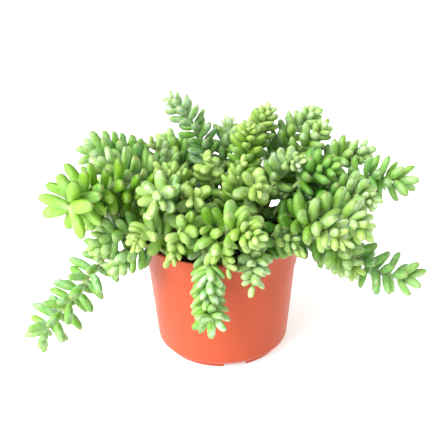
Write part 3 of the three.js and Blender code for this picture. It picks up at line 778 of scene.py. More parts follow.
def shoot_tree():
    """Points become leaves and the stem line becomes a stem, joined in one mesh."""
    sockets = {
        "Leaf": "Object",
        "Stem line": "Object",
        "Stem sides": "Int",
        "Unevenness": "Float",
        "Leaf material": "Material",
        "Stem material": "Material",
    }
    nodes, start, identifiers = new_geometry_tree("Leafy shoot", sockets)
    leaf = nodes.add("GeometryNodeObjectInfo", {"Object": start["Leaf"]})
    inputs = {
        "Points": start["Geometry"],
        "Instance": leaf.outputs["Geometry"],
        "Rotation": nodes.named("turn", "QUATERNION"),
        "Scale": nodes.named("size", "FLOAT_VECTOR"),
    }
    placed = nodes.add("GeometryNodeInstanceOnPoints", inputs).outputs["Instances"]
    real = nodes.add("GeometryNodeRealizeInstances", {"Geometry": placed}).outputs["Geometry"]
    place = nodes.add("GeometryNodeInputPosition").outputs["Position"]
    swell = nodes.noise(place, SWELL_SCALE, 1.0, output="Color")
    middle = nodes.add("ShaderNodeVectorMath", {0: swell, 1: (0.5, 0.5, 0.5)}, operation="SUBTRACT")
    amount = nodes.product(start["Unevenness"], SWELL_GAIN)
    inputs = {0: middle.outputs[0], "Scale": amount}
    offset = nodes.add("ShaderNodeVectorMath", inputs, operation="SCALE").outputs[0]
    moved = nodes.add("GeometryNodeSetPosition", {"Geometry": real, "Offset": offset}).outputs["Geometry"]
    inputs = {"Geometry": moved, "Material": start["Leaf material"]}
    leafy = nodes.add("GeometryNodeSetMaterial", inputs).outputs["Geometry"]

    line = nodes.add("GeometryNodeObjectInfo", {"Object": start["Stem line"]}).outputs["Geometry"]
    curve = nodes.add("GeometryNodeMeshToCurve", {"Mesh": line}).outputs["Curve"]
    thick = nodes.named("thick", "FLOAT")
    curve = nodes.add("GeometryNodeSetCurveRadius", {"Curve": curve, "Radius": thick}).outputs["Curve"]
    inputs = {"Resolution": start["Stem sides"], "Radius": 1.0}
    section = nodes.add("GeometryNodeCurvePrimitiveCircle", inputs).outputs["Curve"]
    inputs = {"Curve": curve, "Profile Curve": section, "Scale": thick, "Fill Caps": True}
    tube = nodes.add("GeometryNodeCurveToMesh", inputs).outputs["Mesh"]
    inputs = {"Geometry": tube, "Material": start["Stem material"]}
    woody = nodes.add("GeometryNodeSetMaterial", inputs).outputs["Geometry"]
    shaded = nodes.add("GeometryNodeSetShadeSmooth", {"Geometry": nodes.joined(woody, leafy)})
    nodes.add("NodeGroupOutput", {"Geometry": shaded.outputs["Geometry"]})
    return nodes, identifiers


CRUMB_SIZES = ((0.4, 0.4, 0.3), (1.9, 1.5, 1.2))  # smallest and largest, over an average crumb
LEVEL_ENOUGH = 0.6  # crumbs lie where the surface's normal rises at least this much


def crumb_tree():
    """Crumbs strewn over the upward faces of a body and joined to it."""
    sockets = {"Crumb": "Float", "Crumbs": "Float", "Seed": "Int", "Material": "Material"}
    nodes, start, identifiers = new_geometry_tree("Peat crumbs", sockets)
    facing = nodes.add("GeometryNodeInputNormal").outputs["Normal"]
    rise = nodes.add("ShaderNodeSeparateXYZ", {"Vector": facing}).outputs["Z"]
    inputs = {0: rise, 1: LEVEL_ENOUGH}
    upward = nodes.add("FunctionNodeCompare", inputs, data_type="FLOAT", operation="GREATER_THAN")
    inputs = {
        "Mesh": start["Geometry"],
        "Selection": upward.outputs[0],
        "Density": start["Crumbs"],
        "Seed": start["Seed"],
    }
    strewn = nodes.add("GeometryNodeDistributePointsOnFaces", inputs, distribute_method="RANDOM")
    crumb = nodes.add("GeometryNodeMeshIcoSphere", {"Radius": start["Crumb"], "Subdivisions": 1})
    low, high = CRUMB_SIZES
    size = nodes.add("FunctionNodeRandomValue", {0: low, 1: high, "Seed": 3}, data_type="FLOAT_VECTOR")
    inputs = {0: (0, 0, 0), 1: (TURN, TURN, TURN), "Seed": 5}
    spin = nodes.add("FunctionNodeRandomValue", inputs, data_type="FLOAT_VECTOR")
    inputs = {
        "Points": strewn.outputs["Points"],
        "Instance": crumb.outputs["Mesh"],
        "Rotation": spin.outputs[0],
        "Scale": size.outputs[0],
    }
    placed = nodes.add("GeometryNodeInstanceOnPoints", inputs).outputs["Instances"]
    join = nodes.joined(placed, start["Geometry"])
    real = nodes.add("GeometryNodeRealizeInstances", {"Geometry": join}).outputs["Geometry"]
    done = nodes.add("GeometryNodeSetMaterial", {"Geometry": real, "Material": start["Material"]})
    nodes.add("NodeGroupOutput", {"Geometry": done.outputs["Geometry"]})
    return nodes, identifiers


# ------------------------------------------------------------------ leaf and stem shapes

# Rings of a leaf from its foot to its tip: how far along, and how wide over the widest.
LEAF_RINGS = ((0.0, 0.34), (0.12, 0.66), (0.32, 0.93), (0.56, 1.0), (0.80, 0.88), (0.94, 0.56))
LEAF_SIDES = 8
UPPER_FLATNESS = 0.72
CHANNEL = 0.26  # how deep the channel along the upper side is, in half widths
UNDER_FLATNESS = 0.96
INCURVE = 0.34  # how far the tip bends to its upper side, in half widths


def leaf_mesh():
    """A plump leaf of unit length along +Z and unit half width, its flatter upper side to +Y."""
    vertices = []
    faces = []
    edges = []
    for along, width in LEAF_RINGS:
        for i in range(LEAF_SIDES):
            angle = TURN * i / LEAF_SIDES
            flatness = UPPER_FLATNESS if math.sin(angle) > 0 else UNDER_FLATNESS
            channel = CHANNEL * width * max(0.0, math.sin(angle)) ** 6
            bend = INCURVE * along**2
            up = width * math.sin(angle) * flatness - channel + bend
            vertices.append((width * math.cos(angle), up, along))
            edges.append(abs(math.cos(angle)))
    tip = len(vertices)
    vertices.append((0.0, INCURVE, 1.0))
    edges.append(1.0)
    for ring in range(len(LEAF_RINGS) - 1):
        for i in range(LEAF_SIDES):
            a = ring * LEAF_SIDES + i
            b = ring * LEAF_SIDES + (i + 1) % LEAF_SIDES
            faces.append((a, b, b + LEAF_SIDES, a + LEAF_SIDES))
    last = (len(LEAF_RINGS) - 1) * LEAF_SIDES
    for i in range(LEAF_SIDES):
        faces.append((last + i, last + (i + 1) % LEAF_SIDES, tip))
    faces.append(tuple(reversed(range(LEAF_SIDES))))
    mesh = mesh_from("leaf", vertices, faces)
    set_values(mesh, "along", [along for _, _, along in vertices])
    set_values(mesh, "edge", edges)
    smooth(mesh)
    return mesh


LINE_STEP = 0.001  # spacing of the points worked out along a stem
STEM_TAPER = 0.42  # how much of its thickness a stem loses by its tip


class Line:
    """A stem's centre line: points evenly along a centripetal Catmull-Rom curve through its route,
    with a frame that doesn't twist."""

    def __init__(self, route):
        knots = np.array(route, float)
        ends = np.vstack([2 * knots[0] - knots[1], knots, 2 * knots[-1] - knots[-2]])
        dense = [knots[0]]
        for p0, p1, p2, p3 in zip(ends, ends[1:], ends[2:], ends[3:]):
            dense.extend(self.stretch(p0, p1, p2, p3))
        dense = np.array(dense)
        run = np.concatenate([[0], np.cumsum(np.linalg.norm(np.diff(dense, axis=0), axis=1))])
        self.length = run[-1]
        count = int(self.length / LINE_STEP) + 1
        self.run = np.linspace(0, self.length, count)
        self.points = np.stack([np.interp(self.run, run, dense[:, k]) for k in range(3)], 1)
        tangents = np.gradient(self.points, axis=0)
        self.tangents = tangents / np.linalg.norm(tangents, axis=1, keepdims=True)
        self.normals = np.zeros_like(self.points)
        normal = np.cross(self.tangents[0], (1.0, 0.0, 0.0))
        for i, tangent in enumerate(self.tangents):
            normal = normal - tangent * (normal @ tangent)
            normal = normal / np.linalg.norm(normal)
            self.normals[i] = normal

    @staticmethod
    def stretch(p0, p1, p2, p3, steps=40):
        """Points of one stretch, from just after p1 to p2."""
        t0 = 0.0
        t1 = np.linalg.norm(p1 - p0) ** 0.5
        t2 = t1 + np.linalg.norm(p2 - p1) ** 0.5
        t3 = t2 + np.linalg.norm(p3 - p2) ** 0.5
        points = []
        for t in np.linspace(t1, t2, steps + 1)[1:]:
            a1 = (t1 - t) / (t1 - t0) * p0 + (t - t0) / (t1 - t0) * p1
            a2 = (t2 - t) / (t2 - t1) * p1 + (t - t1) / (t2 - t1) * p2
            a3 = (t3 - t) / (t3 - t2) * p2 + (t - t2) / (t3 - t2) * p3
            b1 = (t2 - t) / (t2 - t0) * a1 + (t - t0) / (t2 - t0) * a2
            b2 = (t3 - t) / (t3 - t1) * a2 + (t - t1) / (t3 - t1) * a3
            points.append((t2 - t) / (t2 - t1) * b1 + (t - t1) / (t2 - t1) * b2)
        return points

    def at(self, run):
        """Point, tangent and normal at a distance along the line."""
        i = min(len(self.run) - 1, int(round(run / LINE_STEP)))
        return self.points[i], self.tangents[i], self.normals[i]

    def thickness(self, radius):
        """Radius of the stem at each point: full at the soil, slimmer to the tip."""
        share = self.run / self.length
        return radius * (1.0 - STEM_TAPER * share)


# ------------------------------------------------------------------ laying out the leaves

TIP_SEAT = 0.0012  # the last leaf is rooted this far inside the stem's end
YOUNG_PLUMPNESS = 1.15  # young leaves are rounder than grown ones
PAINTED_SHADE_FROM = 0.022  # from here on, away from the tip, leaves get darker with painted shade
PAINTED_SHADE_STRETCH = 0.040  # over this stretch
YOUNG_STRETCH = 1.6  # how far young looks reach, over the stretch of young leaves
GROWN_TIP = 1.08  # a newest leaf this long, over a grown one, has no young looks left
YOUTH_GAIN = 1.3
LENGTH_RANGE = (0.92, 1.08)  # chance in a leaf's length
WIDTH_RANGE = (0.93, 1.07)  # and in its width
SPREAD_CHANCE = 4  # degrees
TURN_CHANCE = 0.08  # radians
BARE_STEM = 0.012  # leafless stem above the soil
UP = np.array((0.0, 0.0, 1.0))


class Foliage:
    """Every leaf of the plant, as arrays with a row for each leaf."""

    def __init__(self):
        names = ("root", "tangent", "aim", "length", "half", "shoot", "age", "rank", "deep")
        self.columns = {name: [] for name in names}

    def add(self, **leaf):
        for key, value in leaf.items():
            self.columns[key].append(value)

    def settle_columns(self):
        for key, values in self.columns.items():
            setattr(self, key, np.array(values))

    def keep(self, mask):
        for key in self.columns:
            setattr(self, key, getattr(self, key)[mask])


def grow_leaves(foliage, index, shoot, line, plumpness, rng):
    """Adds one shoot's leaves, from its tip back to the soil, in a golden-angle spiral."""
    from_tip = TIP_SEAT
    turn = rng.uniform(0, TURN)
    youth = min(1.0, max(0.0, (GROWN_TIP - shoot.newest) * YOUTH_GAIN * shoot.tender))
    while from_tip < line.length - BARE_STEM:
        point, tangent, normal = line.at(line.length - from_tip)
        age = min(1.0, from_tip / shoot.bud)
        ease = age * age * (3 - 2 * age)
        length = shoot.leaf * (shoot.newest + (1 - shoot.newest) * ease)
        opening = shoot.tip_spread + (shoot.spread - shoot.tip_spread) * age**0.7
        spread = math.radians(opening + rng.normal(0, SPREAD_CHANCE))
        binormal = np.cross(tangent, normal)
        outward = normal * math.cos(turn) + binormal * math.sin(turn)
        aim = tangent * math.cos(spread) + outward * math.sin(spread) + UP * shoot.lift * age
        width = shoot.plump * (YOUNG_PLUMPNESS + (1 - YOUNG_PLUMPNESS) * ease)
        length *= rng.uniform(*LENGTH_RANGE)
        rank = min(1.0, from_tip / (shoot.bud * YOUNG_STRETCH))
        # how far into the painted shade a leaf lies, away from the tip
        old = min(1.0, max(0.0, (from_tip - PAINTED_SHADE_FROM) / PAINTED_SHADE_STRETCH))
        foliage.add(
            root=point,
            tangent=tangent,
            aim=aim / np.linalg.norm(aim),
            length=length,
            half=length * plumpness * width * rng.uniform(*WIDTH_RANGE),
            shoot=index,
            age=1 - (1 - rank) * youth,
            rank=rank,
            deep=min(1.0, shoot.shade * old),
        )
        turn += GOLDEN_ANGLE + rng.normal(0, TURN_CHANCE)
        from_tip += shoot.crowd * length


# A leaf takes part in the settling as a string of beads: how far along, and how wide.
BEADS = np.array(((0.28, 0.58), (0.46, 0.90), (0.66, 0.93), (0.87, 0.62)))
BEAD_SHARE = BEADS[:, 0]
BEAD_WIDTH = BEADS[:, 1]
ROUNDS = 160
REFRESH = 10  # rounds between searches for neighbours
REACH = 0.003  # how far beyond touching neighbours are looked for
YIELD = 0.6  # share of a contact's correction made in a round
RECALL = 0.03  # pull back to the direction the leaf grew in
TOLERANCE = 0.22  # overlap that soft leaves take up, as a share of the smaller bead
TIP_TOLERANCE = 1.6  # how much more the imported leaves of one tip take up
STEM_TOLERANCE = 0.35  # overlap with a stem, as a share of the bead
STEM_BEAD = 0.0022  # radius of a stem for the settling
OWN_FOOT = 0.9  # a leaf ignores its own stem within this share of its length
SOIL_GAP = 0.0015  # leaves stay this far above the soil
TIE_BREAK = 1e-6  # settles which of two leaves of the same age is dropped
LEAST_WEIGHT = 1e-12  # for a leaf that nothing touches


def upper_side(tangent, aim):
    """Direction of each leaf's upper side, which faces its stem's tip."""
    face = tangent - aim * np.sum(tangent * aim, 1, keepdims=True)
    return face / np.maximum(np.linalg.norm(face, axis=1, keepdims=True), TINY)


def bead_centres(foliage):
    """Centres of all beads, in rows of leaves."""
    face = upper_side(foliage.tangent, foliage.aim)
    reach = BEAD_SHARE[None, :, None] * foliage.length[:, None, None]
    bend = (INCURVE * BEAD_SHARE**2)[None, :, None] * foliage.half[:, None, None]
    return foliage.root[:, None] + foliage.aim[:, None] * reach + face[:, None] * bend


def neighbours(centres, points, reaches):
    """Pairs of a centre and a point that lie within the centre's reach."""
    tree = kdtree.KDTree(len(points))
    for j, point in enumerate(points):
        tree.insert(point, j)
    tree.balance()
    pairs = []
    for i, (centre, reach) in enumerate(zip(centres, reaches)):
        pairs.extend((i, j) for _, j, _ in tree.find_range(centre, reach))
    return np.array(pairs, int).reshape(-1, 2).T


def near_pairs(centres, radii, leaf_of, shoot):
    """Pairs of beads of different leaves that nearly touch. The feet of one shoot's leaves may meet."""
    first, second = neighbours(centres, centres, radii + radii.max() + REACH)
    apart = (second > first) & (leaf_of[first] != leaf_of[second])
    same = shoot[leaf_of[first]] == shoot[leaf_of[second]]
    feet = (first % len(BEADS) == 0) | (second % len(BEADS) == 0)
    free = apart & ~(same & feet)
    return first[free], second[free]


def near_stems(centres, radii, leaf_of, foliage, lines):
    """Pairs of a bead and a stem point that nearly touch, but for a leaf's own foot."""
    points = np.concatenate([line.points[::2] for line in lines])
    owner = np.concatenate([np.full(len(line.points[::2]), i) for i, line in enumerate(lines)])
    first, second = neighbours(centres, points, radii + STEM_BEAD + REACH)
    leaf = leaf_of[first]
    other = owner[second] != foliage.shoot[leaf]
    from_foot = np.linalg.norm(points[second] - foliage.root[leaf], axis=1)
    free = other | (from_foot >= OWN_FOOT * foliage.length[leaf])
    return points, first[free], second[free]


def pot_push(centres, radii, pot):
    """How far each bead must move to clear the pot's wall, its lip, the soil and the floor."""
    across = np.hypot(centres[:, 0], centres[:, 1])
    height = centres[:, 2]
    low = np.array((pot.wall_foot - pot.wall / 2, 0.0))
    high = np.array((pot.rim_radius - pot.wall, pot.height))
    wall = high - low
    place = np.stack([across, height], 1)
    share = np.clip((place - low) @ wall / (wall @ wall), 0, 1)
    offset = place - (low + share[:, None] * wall)
    gap = np.maximum(np.linalg.norm(offset, axis=1), TINY)
    deep = np.maximum(radii + pot.wall - gap, 0)
    flat = offset / gap[:, None] * deep[:, None]
    inside = (offset[:, 0] < 0) & (height < pot.height)
    flat[:, 1] += np.where(inside, np.maximum(SOIL_HIGH.z + SOIL_GAP + radii - height, 0), 0)
    flat[:, 1] += np.maximum(radii - height, 0)
    outward = centres[:, :2] / np.maximum(across, TINY)[:, None]
    return np.column_stack([outward * flat[:, :1], flat[:, 1]])


def contacts(first, second, reach):
    """Which pairs of places are nearer than their reach, and the moves that part those."""
    apart = first - second
    gap = np.maximum(np.linalg.norm(apart, axis=1), TINY)
    deep = reach - gap
    hit = deep > 0
    return hit, apart[hit] / gap[hit, None] * deep[hit, None]


def settle(foliage, lines, pot):
    """Lets crowded leaves swing aside until they lie against each other, then drops those that still
    have no room."""
    grew = foliage.aim.copy()
    count = len(foliage.length)
    leaf_of = np.repeat(np.arange(count), len(BEADS))
    radii = (foliage.half[:, None] * BEAD_WIDTH).ravel()
    lever = (foliage.length[:, None] * BEAD_SHARE).ravel()
    for step in range(ROUNDS):
        centres = bead_centres(foliage).reshape(-1, 3)
        if step % REFRESH == 0:
            first, second = near_pairs(centres, radii, leaf_of, foliage.shoot)
            stems, bead, point = near_stems(centres, radii, leaf_of, foliage, lines)
        hit, move = contacts(centres[first], centres[second], radii[first] + radii[second])
        moves = [(first[hit], move * 0.5), (second[hit], -move * 0.5)]
        hit, move = contacts(centres[bead], stems[point], radii[bead] + STEM_BEAD)
        moves.append((bead[hit], move))
        push = pot_push(centres, radii, pot)
        hit = np.flatnonzero(np.abs(push).sum(1) > 0)
        moves.append((hit, push[hit]))
        pull = np.zeros((count, 3))
        weight = np.zeros(count)
        for beads, move in moves:
            for axis in range(3):
                pull[:, axis] += np.bincount(leaf_of[beads], move[:, axis] * lever[beads], count)
            weight += np.bincount(leaf_of[beads], lever[beads] ** 2, count)
        swing = pull / np.maximum(weight, LEAST_WEIGHT)[:, None]
        aim = foliage.aim + YIELD * swing + RECALL * (grew - foliage.aim)
        foliage.aim = aim / np.linalg.norm(aim, axis=1, keepdims=True)
    drop_crowded(foliage, leaf_of, radii, lines, pot)


def drop_crowded(foliage, leaf_of, radii, lines, pot):
    """Removes leaves until none overlaps another, a stem or the pot by more than soft leaves would."""
    centres = bead_centres(foliage).reshape(-1, 3)
    first, second = near_pairs(centres, radii, leaf_of, foliage.shoot)
    gap = np.linalg.norm(centres[first] - centres[second], axis=1)
    deep = (radii[first] + radii[second] - gap) / np.minimum(radii[first], radii[second])
    alive = np.ones(len(foliage.length), bool)
    push = pot_push(centres, radii, pot)
    blocked = np.linalg.norm(push, axis=1) > TOLERANCE * radii
    alive[leaf_of[blocked]] = False
    stems, bead, point = near_stems(centres, radii, leaf_of, foliage, lines)
    reach = np.linalg.norm(centres[bead] - stems[point], axis=1)
    blocked = radii[bead] + STEM_BEAD - reach > STEM_TOLERANCE * radii[bead]
    alive[leaf_of[bead[blocked]]] = False
    for i in np.argsort(-deep):
        if deep[i] < TOLERANCE:
            break
        a = leaf_of[first[i]]
        b = leaf_of[second[i]]
        if alive[a] and alive[b]:
            same = foliage.shoot[a] == foliage.shoot[b]
            at_tip = same and min(foliage.rank[a], foliage.rank[b]) < 0.5
            limit = TOLERANCE * (TIP_TOLERANCE if at_tip else 1.0)
            if deep[i] >= limit:
                older = foliage.rank[a] + a * TIE_BREAK > foliage.rank[b] + b * TIE_BREAK
                alive[a if older else b] = False
    foliage.keep(alive)


# ------------------------------------------------------------------ the pieces


def ride_as(made, node):
    """Seats a finished piece on the root body in place of a CAD node."""
    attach(made, "root")
    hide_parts(node)


HEEL_ROUND = 0.005
FOOT_RADIUS = 0.0495  # outside of the ring that the pot stands on
FOOT_WIDTH = 0.0024
FOOT_HEIGHT = 0.0045
BAND_FOOT_RADIUS = 0.0624
BAND_STEP = 0.0011
LIP_PROUD = 0.0007
LIP_HEIGHT = 0.0026
EDGE = 0.0004  # rounding of the pot's small edges
POT_SIDES = 144


def pot_outline(pot):
    """Closed outline of the pot's wall, from the foot ring up the outside and down the inside."""
    inner_foot = FOOT_RADIUS - FOOT_WIDTH
    heel = (pot.wall_foot - HEEL_ROUND, FOOT_HEIGHT + HEEL_ROUND)
    band_foot = pot.height - pot.band_height
    lip = pot.rim_radius - LIP_PROUD
    lip_foot = pot.height - LIP_HEIGHT
    floor = FOOT_HEIGHT + pot.wall
    outside = [(inner_foot, 0.0), (FOOT_RADIUS - EDGE, 0.0), (FOOT_RADIUS, EDGE), (FOOT_RADIUS, FOOT_HEIGHT)]
    outside += arc(*heel, HEEL_ROUND, -90, 0, 9)
    outside += [(BAND_FOOT_RADIUS - BAND_STEP, band_foot)]
    outside += arc(BAND_FOOT_RADIUS - EDGE, band_foot + BAND_STEP, EDGE, -70, 10, 3)
    outside += [(lip, lip_foot)]
    outside += arc(lip, lip_foot + LIP_PROUD, LIP_PROUD, -60, 0, 3)
    outside += arc(lip, pot.height - LIP_PROUD, LIP_PROUD, 0, 90, 4)
    inside = arc(lip - pot.wall + EDGE, pot.height - EDGE, EDGE, 90, 180, 3)
    inside += [(BAND_FOOT_RADIUS - pot.wall, band_foot)]
    inside += arc(*heel, HEEL_ROUND - pot.wall, 0, -90, 7)
    inside += [(0.0, floor), (0.0, FOOT_HEIGHT), (inner_foot, FOOT_HEIGHT)]
    return outside + inside


NOTCH_COUNT = 3
NOTCH_WIDTH = 0.0185
NOTCH_BEARING = math.radians(-79)
DRAIN_COUNT = 6
DRAIN_RADIUS = 0.004
DRAIN_CIRCLE = 0.030
DRAIN_DEPTH = 0.012  # length of the body that cuts a hole, well over the floor's thickness


def pot_cutters():
    """Bodies that cut the three notches in the foot and the drain holes in the floor."""
    made = bmesh.new()
    size = Matrix.Diagonal((3 * FOOT_WIDTH, NOTCH_WIDTH, 2 * FOOT_HEIGHT, 1))
    out_to_ring = Matrix.Translation((FOOT_RADIUS - FOOT_WIDTH / 2, 0, 0))
    for i in range(NOTCH_COUNT):
        turn = Matrix.Rotation(NOTCH_BEARING + TURN * i / NOTCH_COUNT, 4, "Z")
        bmesh.ops.create_cube(made, size=1.0, matrix=turn @ out_to_ring @ size)
    drain = {"cap_ends": True, "segments": 24, "radius1": DRAIN_RADIUS, "radius2": DRAIN_RADIUS}
    for i in range(DRAIN_COUNT):
        angle = TURN * i / DRAIN_COUNT
        centre = (DRAIN_CIRCLE * math.cos(angle), DRAIN_CIRCLE * math.sin(angle), DRAIN_DEPTH / 2)
        bmesh.ops.create_cone(made, depth=DRAIN_DEPTH, matrix=Matrix.Translation(centre), **drain)
    return add_object("pot_cutters", finished_mesh("pot_cutters", made))


def make_pot(pot):
    """The nursery pot, with its notches, drain holes and softened edges."""
    made = add_object("nursery_pot", turned_mesh("nursery_pot", pot_outline(pot), POT_SIDES))
    cutters = pot_cutters()
    cut = made.modifiers.new("Cut", "BOOLEAN")
    cut.operation = "DIFFERENCE"
    cut.solver = "EXACT"
    cut.object = cutters
    bake_modifiers(made)
    bpy.data.objects.remove(cutters)
    bevel = made.modifiers.new("Soften", "BEVEL")
    bevel.width = EDGE
    bevel.segments = 2
    bevel.limit_method = "ANGLE"
    bevel.angle_limit = math.radians(58)
    bake_modifiers(made)
    smooth(made.data, 42)
    made.data.materials.clear()
    made.data.materials.append(plastic_material(pot.plastic))
    ride_as(made, "pot")


SOIL_SIDES = 96
SOIL_RINGS = 34  # rings of its top, which the lumps need
SOIL_INSET = 0.998  # the outer ring of the top, over the plug's radius
PLUG_FLAT = 0.78  # the flat of its foot, over its radius
PLUG_HEEL = 0.86  # the top of the slope round its foot, over its radius
PLUG_HEEL_RISE = 0.006
PLUG_SHOULDER = (0.0022, 0.014)  # how far in from the edge and down from the top it narrows
LUMP_SCALES = (130.0, 390.0)
LUMP_HEIGHT = 0.0010
LUMP_SINK = 0.0006  # keeps the lumps from rising far over the level of the soil
CRUMB_SEED = 11


def make_soil(soil):
    """The plug of soil with an uneven top, strewn with crumbs of peat."""
    low, high = SOIL_LOW.z, SOIL_HIGH.z
    radius = (SOIL_HIGH.x - SOIL_LOW.x) / 2
    shoulder_in, shoulder_down = PLUG_SHOULDER
    foot = [(0.0, low), (radius * PLUG_FLAT, low), (radius * PLUG_HEEL, low + PLUG_HEEL_RISE)]
    side = [(radius - shoulder_in, high - shoulder_down), (radius, high)]
    top = [(radius * (1 - i / SOIL_RINGS) * SOIL_INSET, high) for i in range(SOIL_RINGS + 1)]
    made = add_object("soil", turned_mesh("soil", foot + side + top, SOIL_SIDES))
    coarse, fine = LUMP_SCALES
    for vertex in made.data.vertices:
        if vertex.co.z > high - 1e-5:
            bumps = noise.noise(vertex.co * coarse) + 0.5 * noise.noise(vertex.co * fine)
            vertex.co.z += LUMP_HEIGHT * bumps - LUMP_SINK
    smooth(made.data, 60)
    peat = peat_material(soil.peat)
    values = {"Crumb": soil.crumb, "Crumbs": soil.crumbs_per_area, "Seed": CRUMB_SEED, "Material": peat}
    grow_with(made, *crumb_tree(), values)
    ride_as(made, "potting_soil")


# Leaves near the heart of the plant get painted shade: they are coloured darker than those that reach the
# light.
HEART = np.array((0.0, 0.0, 0.090))
HEART_REACH = np.array((0.11, 0.085, 0.068))
ROLL = 0.16  # how much a leaf may be rolled about its length, in radians
THICKNESS_RANGE = (0.90, 1.06)  # chance in a leaf's thickness over its width
STEM_SIDES = 8
STEM_EVERY = 4  # points of the worked-out line to each edge of the stem
WOODY = 0.05  # stretch over which a stem turns from woody to green


def leaf_points(name, foliage, index, shoot, rng):
    """A mesh of points that carry the places, turns and sizes of one shoot's leaves."""
    mine = np.flatnonzero(foliage.shoot == index)
    root, aim, length, half = (getattr(foliage, key)[mine] for key in ("root", "aim", "length", "half"))
    mesh = bpy.data.meshes.new(name)
    mesh.vertices.add(len(mine))
    mesh.vertices.foreach_set("co", root.ravel())
    turns = []
    for up, axis in zip(upper_side(foliage.tangent[mine], aim), aim):
        side = np.cross(up, axis)
        basis = Matrix((side, up, axis)).transposed()
        turns.extend(basis.to_quaternion() @ Matrix.Rotation(rng.normal(0, ROLL), 3, "Z").to_quaternion())
    size = np.stack([half, half * rng.uniform(*THICKNESS_RANGE, len(mine)), length], 1)
    mesh.attributes.new("turn", "QUATERNION", "POINT").data.foreach_set("value", turns)
    mesh.attributes.new("size", "FLOAT_VECTOR", "POINT").data.foreach_set("vector", size.ravel())
    # how far out from the heart each leaf reaches, which sets its painted shade
    spread = (root + aim * length[:, None] - HEART) / HEART_REACH
    set_values(mesh, "outer", np.linalg.norm(spread, axis=1).clip(0.3, 1.0))
    set_values(mesh, "age", foliage.age[mine])
    set_values(mesh, "deep", foliage.deep[mine])
    set_values(mesh, "tint", rng.uniform(0, 1, len(mine)))
    set_values(mesh, "blue", np.full(len(mine), shoot.blue))
    set_values(mesh, "pale", np.full(len(mine), shoot.pale))
    return add_object(name, mesh)


def stem_line_object(line, radius):
    """The stem's centre line as a chain of edges that carries its thickness."""
    picks = [*range(0, len(line.points) - 1, STEM_EVERY), len(line.points) - 1]
    mesh = bpy.data.meshes.new("stem_line")
    edges = [(i, i + 1) for i in range(len(picks) - 1)]
    mesh.from_pydata([tuple(line.points[i]) for i in picks], edges, [])
    set_values(mesh, "thick", line.thickness(radius)[picks])
    set_values(mesh, "rise", (line.run / WOODY).clip(0, 1)[picks])
    return add_object("stem_line", mesh)


def make_shoots(settings, pot):
    """All the leafy shoots, each one piece."""
    rng = np.random.default_rng(settings.seed)
    lines = [Line(shoot.route) for shoot in SHOOTS.values()]
    foliage = Foliage()
    for index, (shoot, line) in enumerate(zip(SHOOTS.values(), lines)):
        grow_leaves(foliage, index, shoot, line, settings.plumpness, rng)
    foliage.settle_columns()
    settle(foliage, lines, pot)
    leaf = add_object("leaf_pattern", leaf_mesh())
    values = {
        "Leaf": leaf,
        "Stem sides": STEM_SIDES,
        "Unevenness": settings.unevenness,
        "Leaf material": leaf_material(tuple(settings.grown_leaf), tuple(settings.young_leaf)),
        "Stem material": stem_material(),
    }
    nodes, identifiers = shoot_tree()
    for index, (name, shoot) in enumerate(SHOOTS.items()):
        made = leaf_points(f"leafy_{name}", foliage, index, shoot, rng)
        stem = stem_line_object(lines[index], settings.stem_radius)
        grow_with(made, nodes, identifiers, {**values, "Stem line": stem})
        bpy.data.objects.remove(stem)
        ride_as(made, f"shoot_{name}")
    bpy.data.objects.remove(leaf)


# ------------------------------------------------------------------ the stage

CAMERA_PLACE = Vector((0.0, -0.5234, 0.3374))
CAMERA_PITCH = math.radians(23.9)
CAMERA_YAW = math.radians(-0.21)
CAMERA_ROLL = math.radians(-0.88)
CAMERA_LENS = 56.38
CAMERA_SENSOR = 36
FLOOR_SIZE = 12.0
KEY_FROM = (-0.64, -0.56, 0.75)  # the way to the key light
KEY_SPREAD = math.radians(38)  # how wide the key light looks, which softens its shadows
KEY_COLOUR = (1.0, 0.985, 0.96)
STRIP_TARGET = (0, 0, 0.07)
BACKDROP = 1.2  # brightness of the surround as the camera sees it


def hang_light(light, turn, place=(0, 0, 0)):
    """Puts a light in the scene, turned by a quaternion."""
    made = add_object(light.name, light)
    made.location = place
    made.rotation_mode = "QUATERNION"
    made.rotation_quaternion = turn


def make_camera():
    """The camera a little above the rim, looking down at the plant from the front."""
    camera = bpy.data.cameras.new("camera")
    camera.lens = CAMERA_LENS
    camera.sensor_width = CAMERA_SENSOR
    made = add_object("camera", camera)
    turn = (
        Matrix.Rotation(CAMERA_YAW, 4, "Z")
        @ Matrix.Rotation(math.radians(90) - CAMERA_PITCH, 4, "X")
        @ Matrix.Rotation(CAMERA_ROLL, 4, "Z")
    )
    made.matrix_world = Matrix.Translation(CAMERA_PLACE) @ turn
    bpy.context.scene.camera = made


def strip_light(name, place, size, power):
    """An upright area light of a width and height at a place, turned to the plant."""
    light = bpy.data.lights.new(name, "AREA")
    light.shape = "RECTANGLE"
    light.size, light.size_y = size
    light.energy = power
    way = Vector(STRIP_TARGET) - Vector(place)
    hang_light(light, way.to_track_quat("-Z", "Y"), place)


def key_light(power):
    """The main light from the upper left, wide enough for soft shadows."""
    sun = bpy.data.lights.new("key", "SUN")
    sun.energy = power
    sun.angle = KEY_SPREAD
    sun.color = KEY_COLOUR
    hang_light(sun, Vector(KEY_FROM).to_track_quat("Z", "Y"))


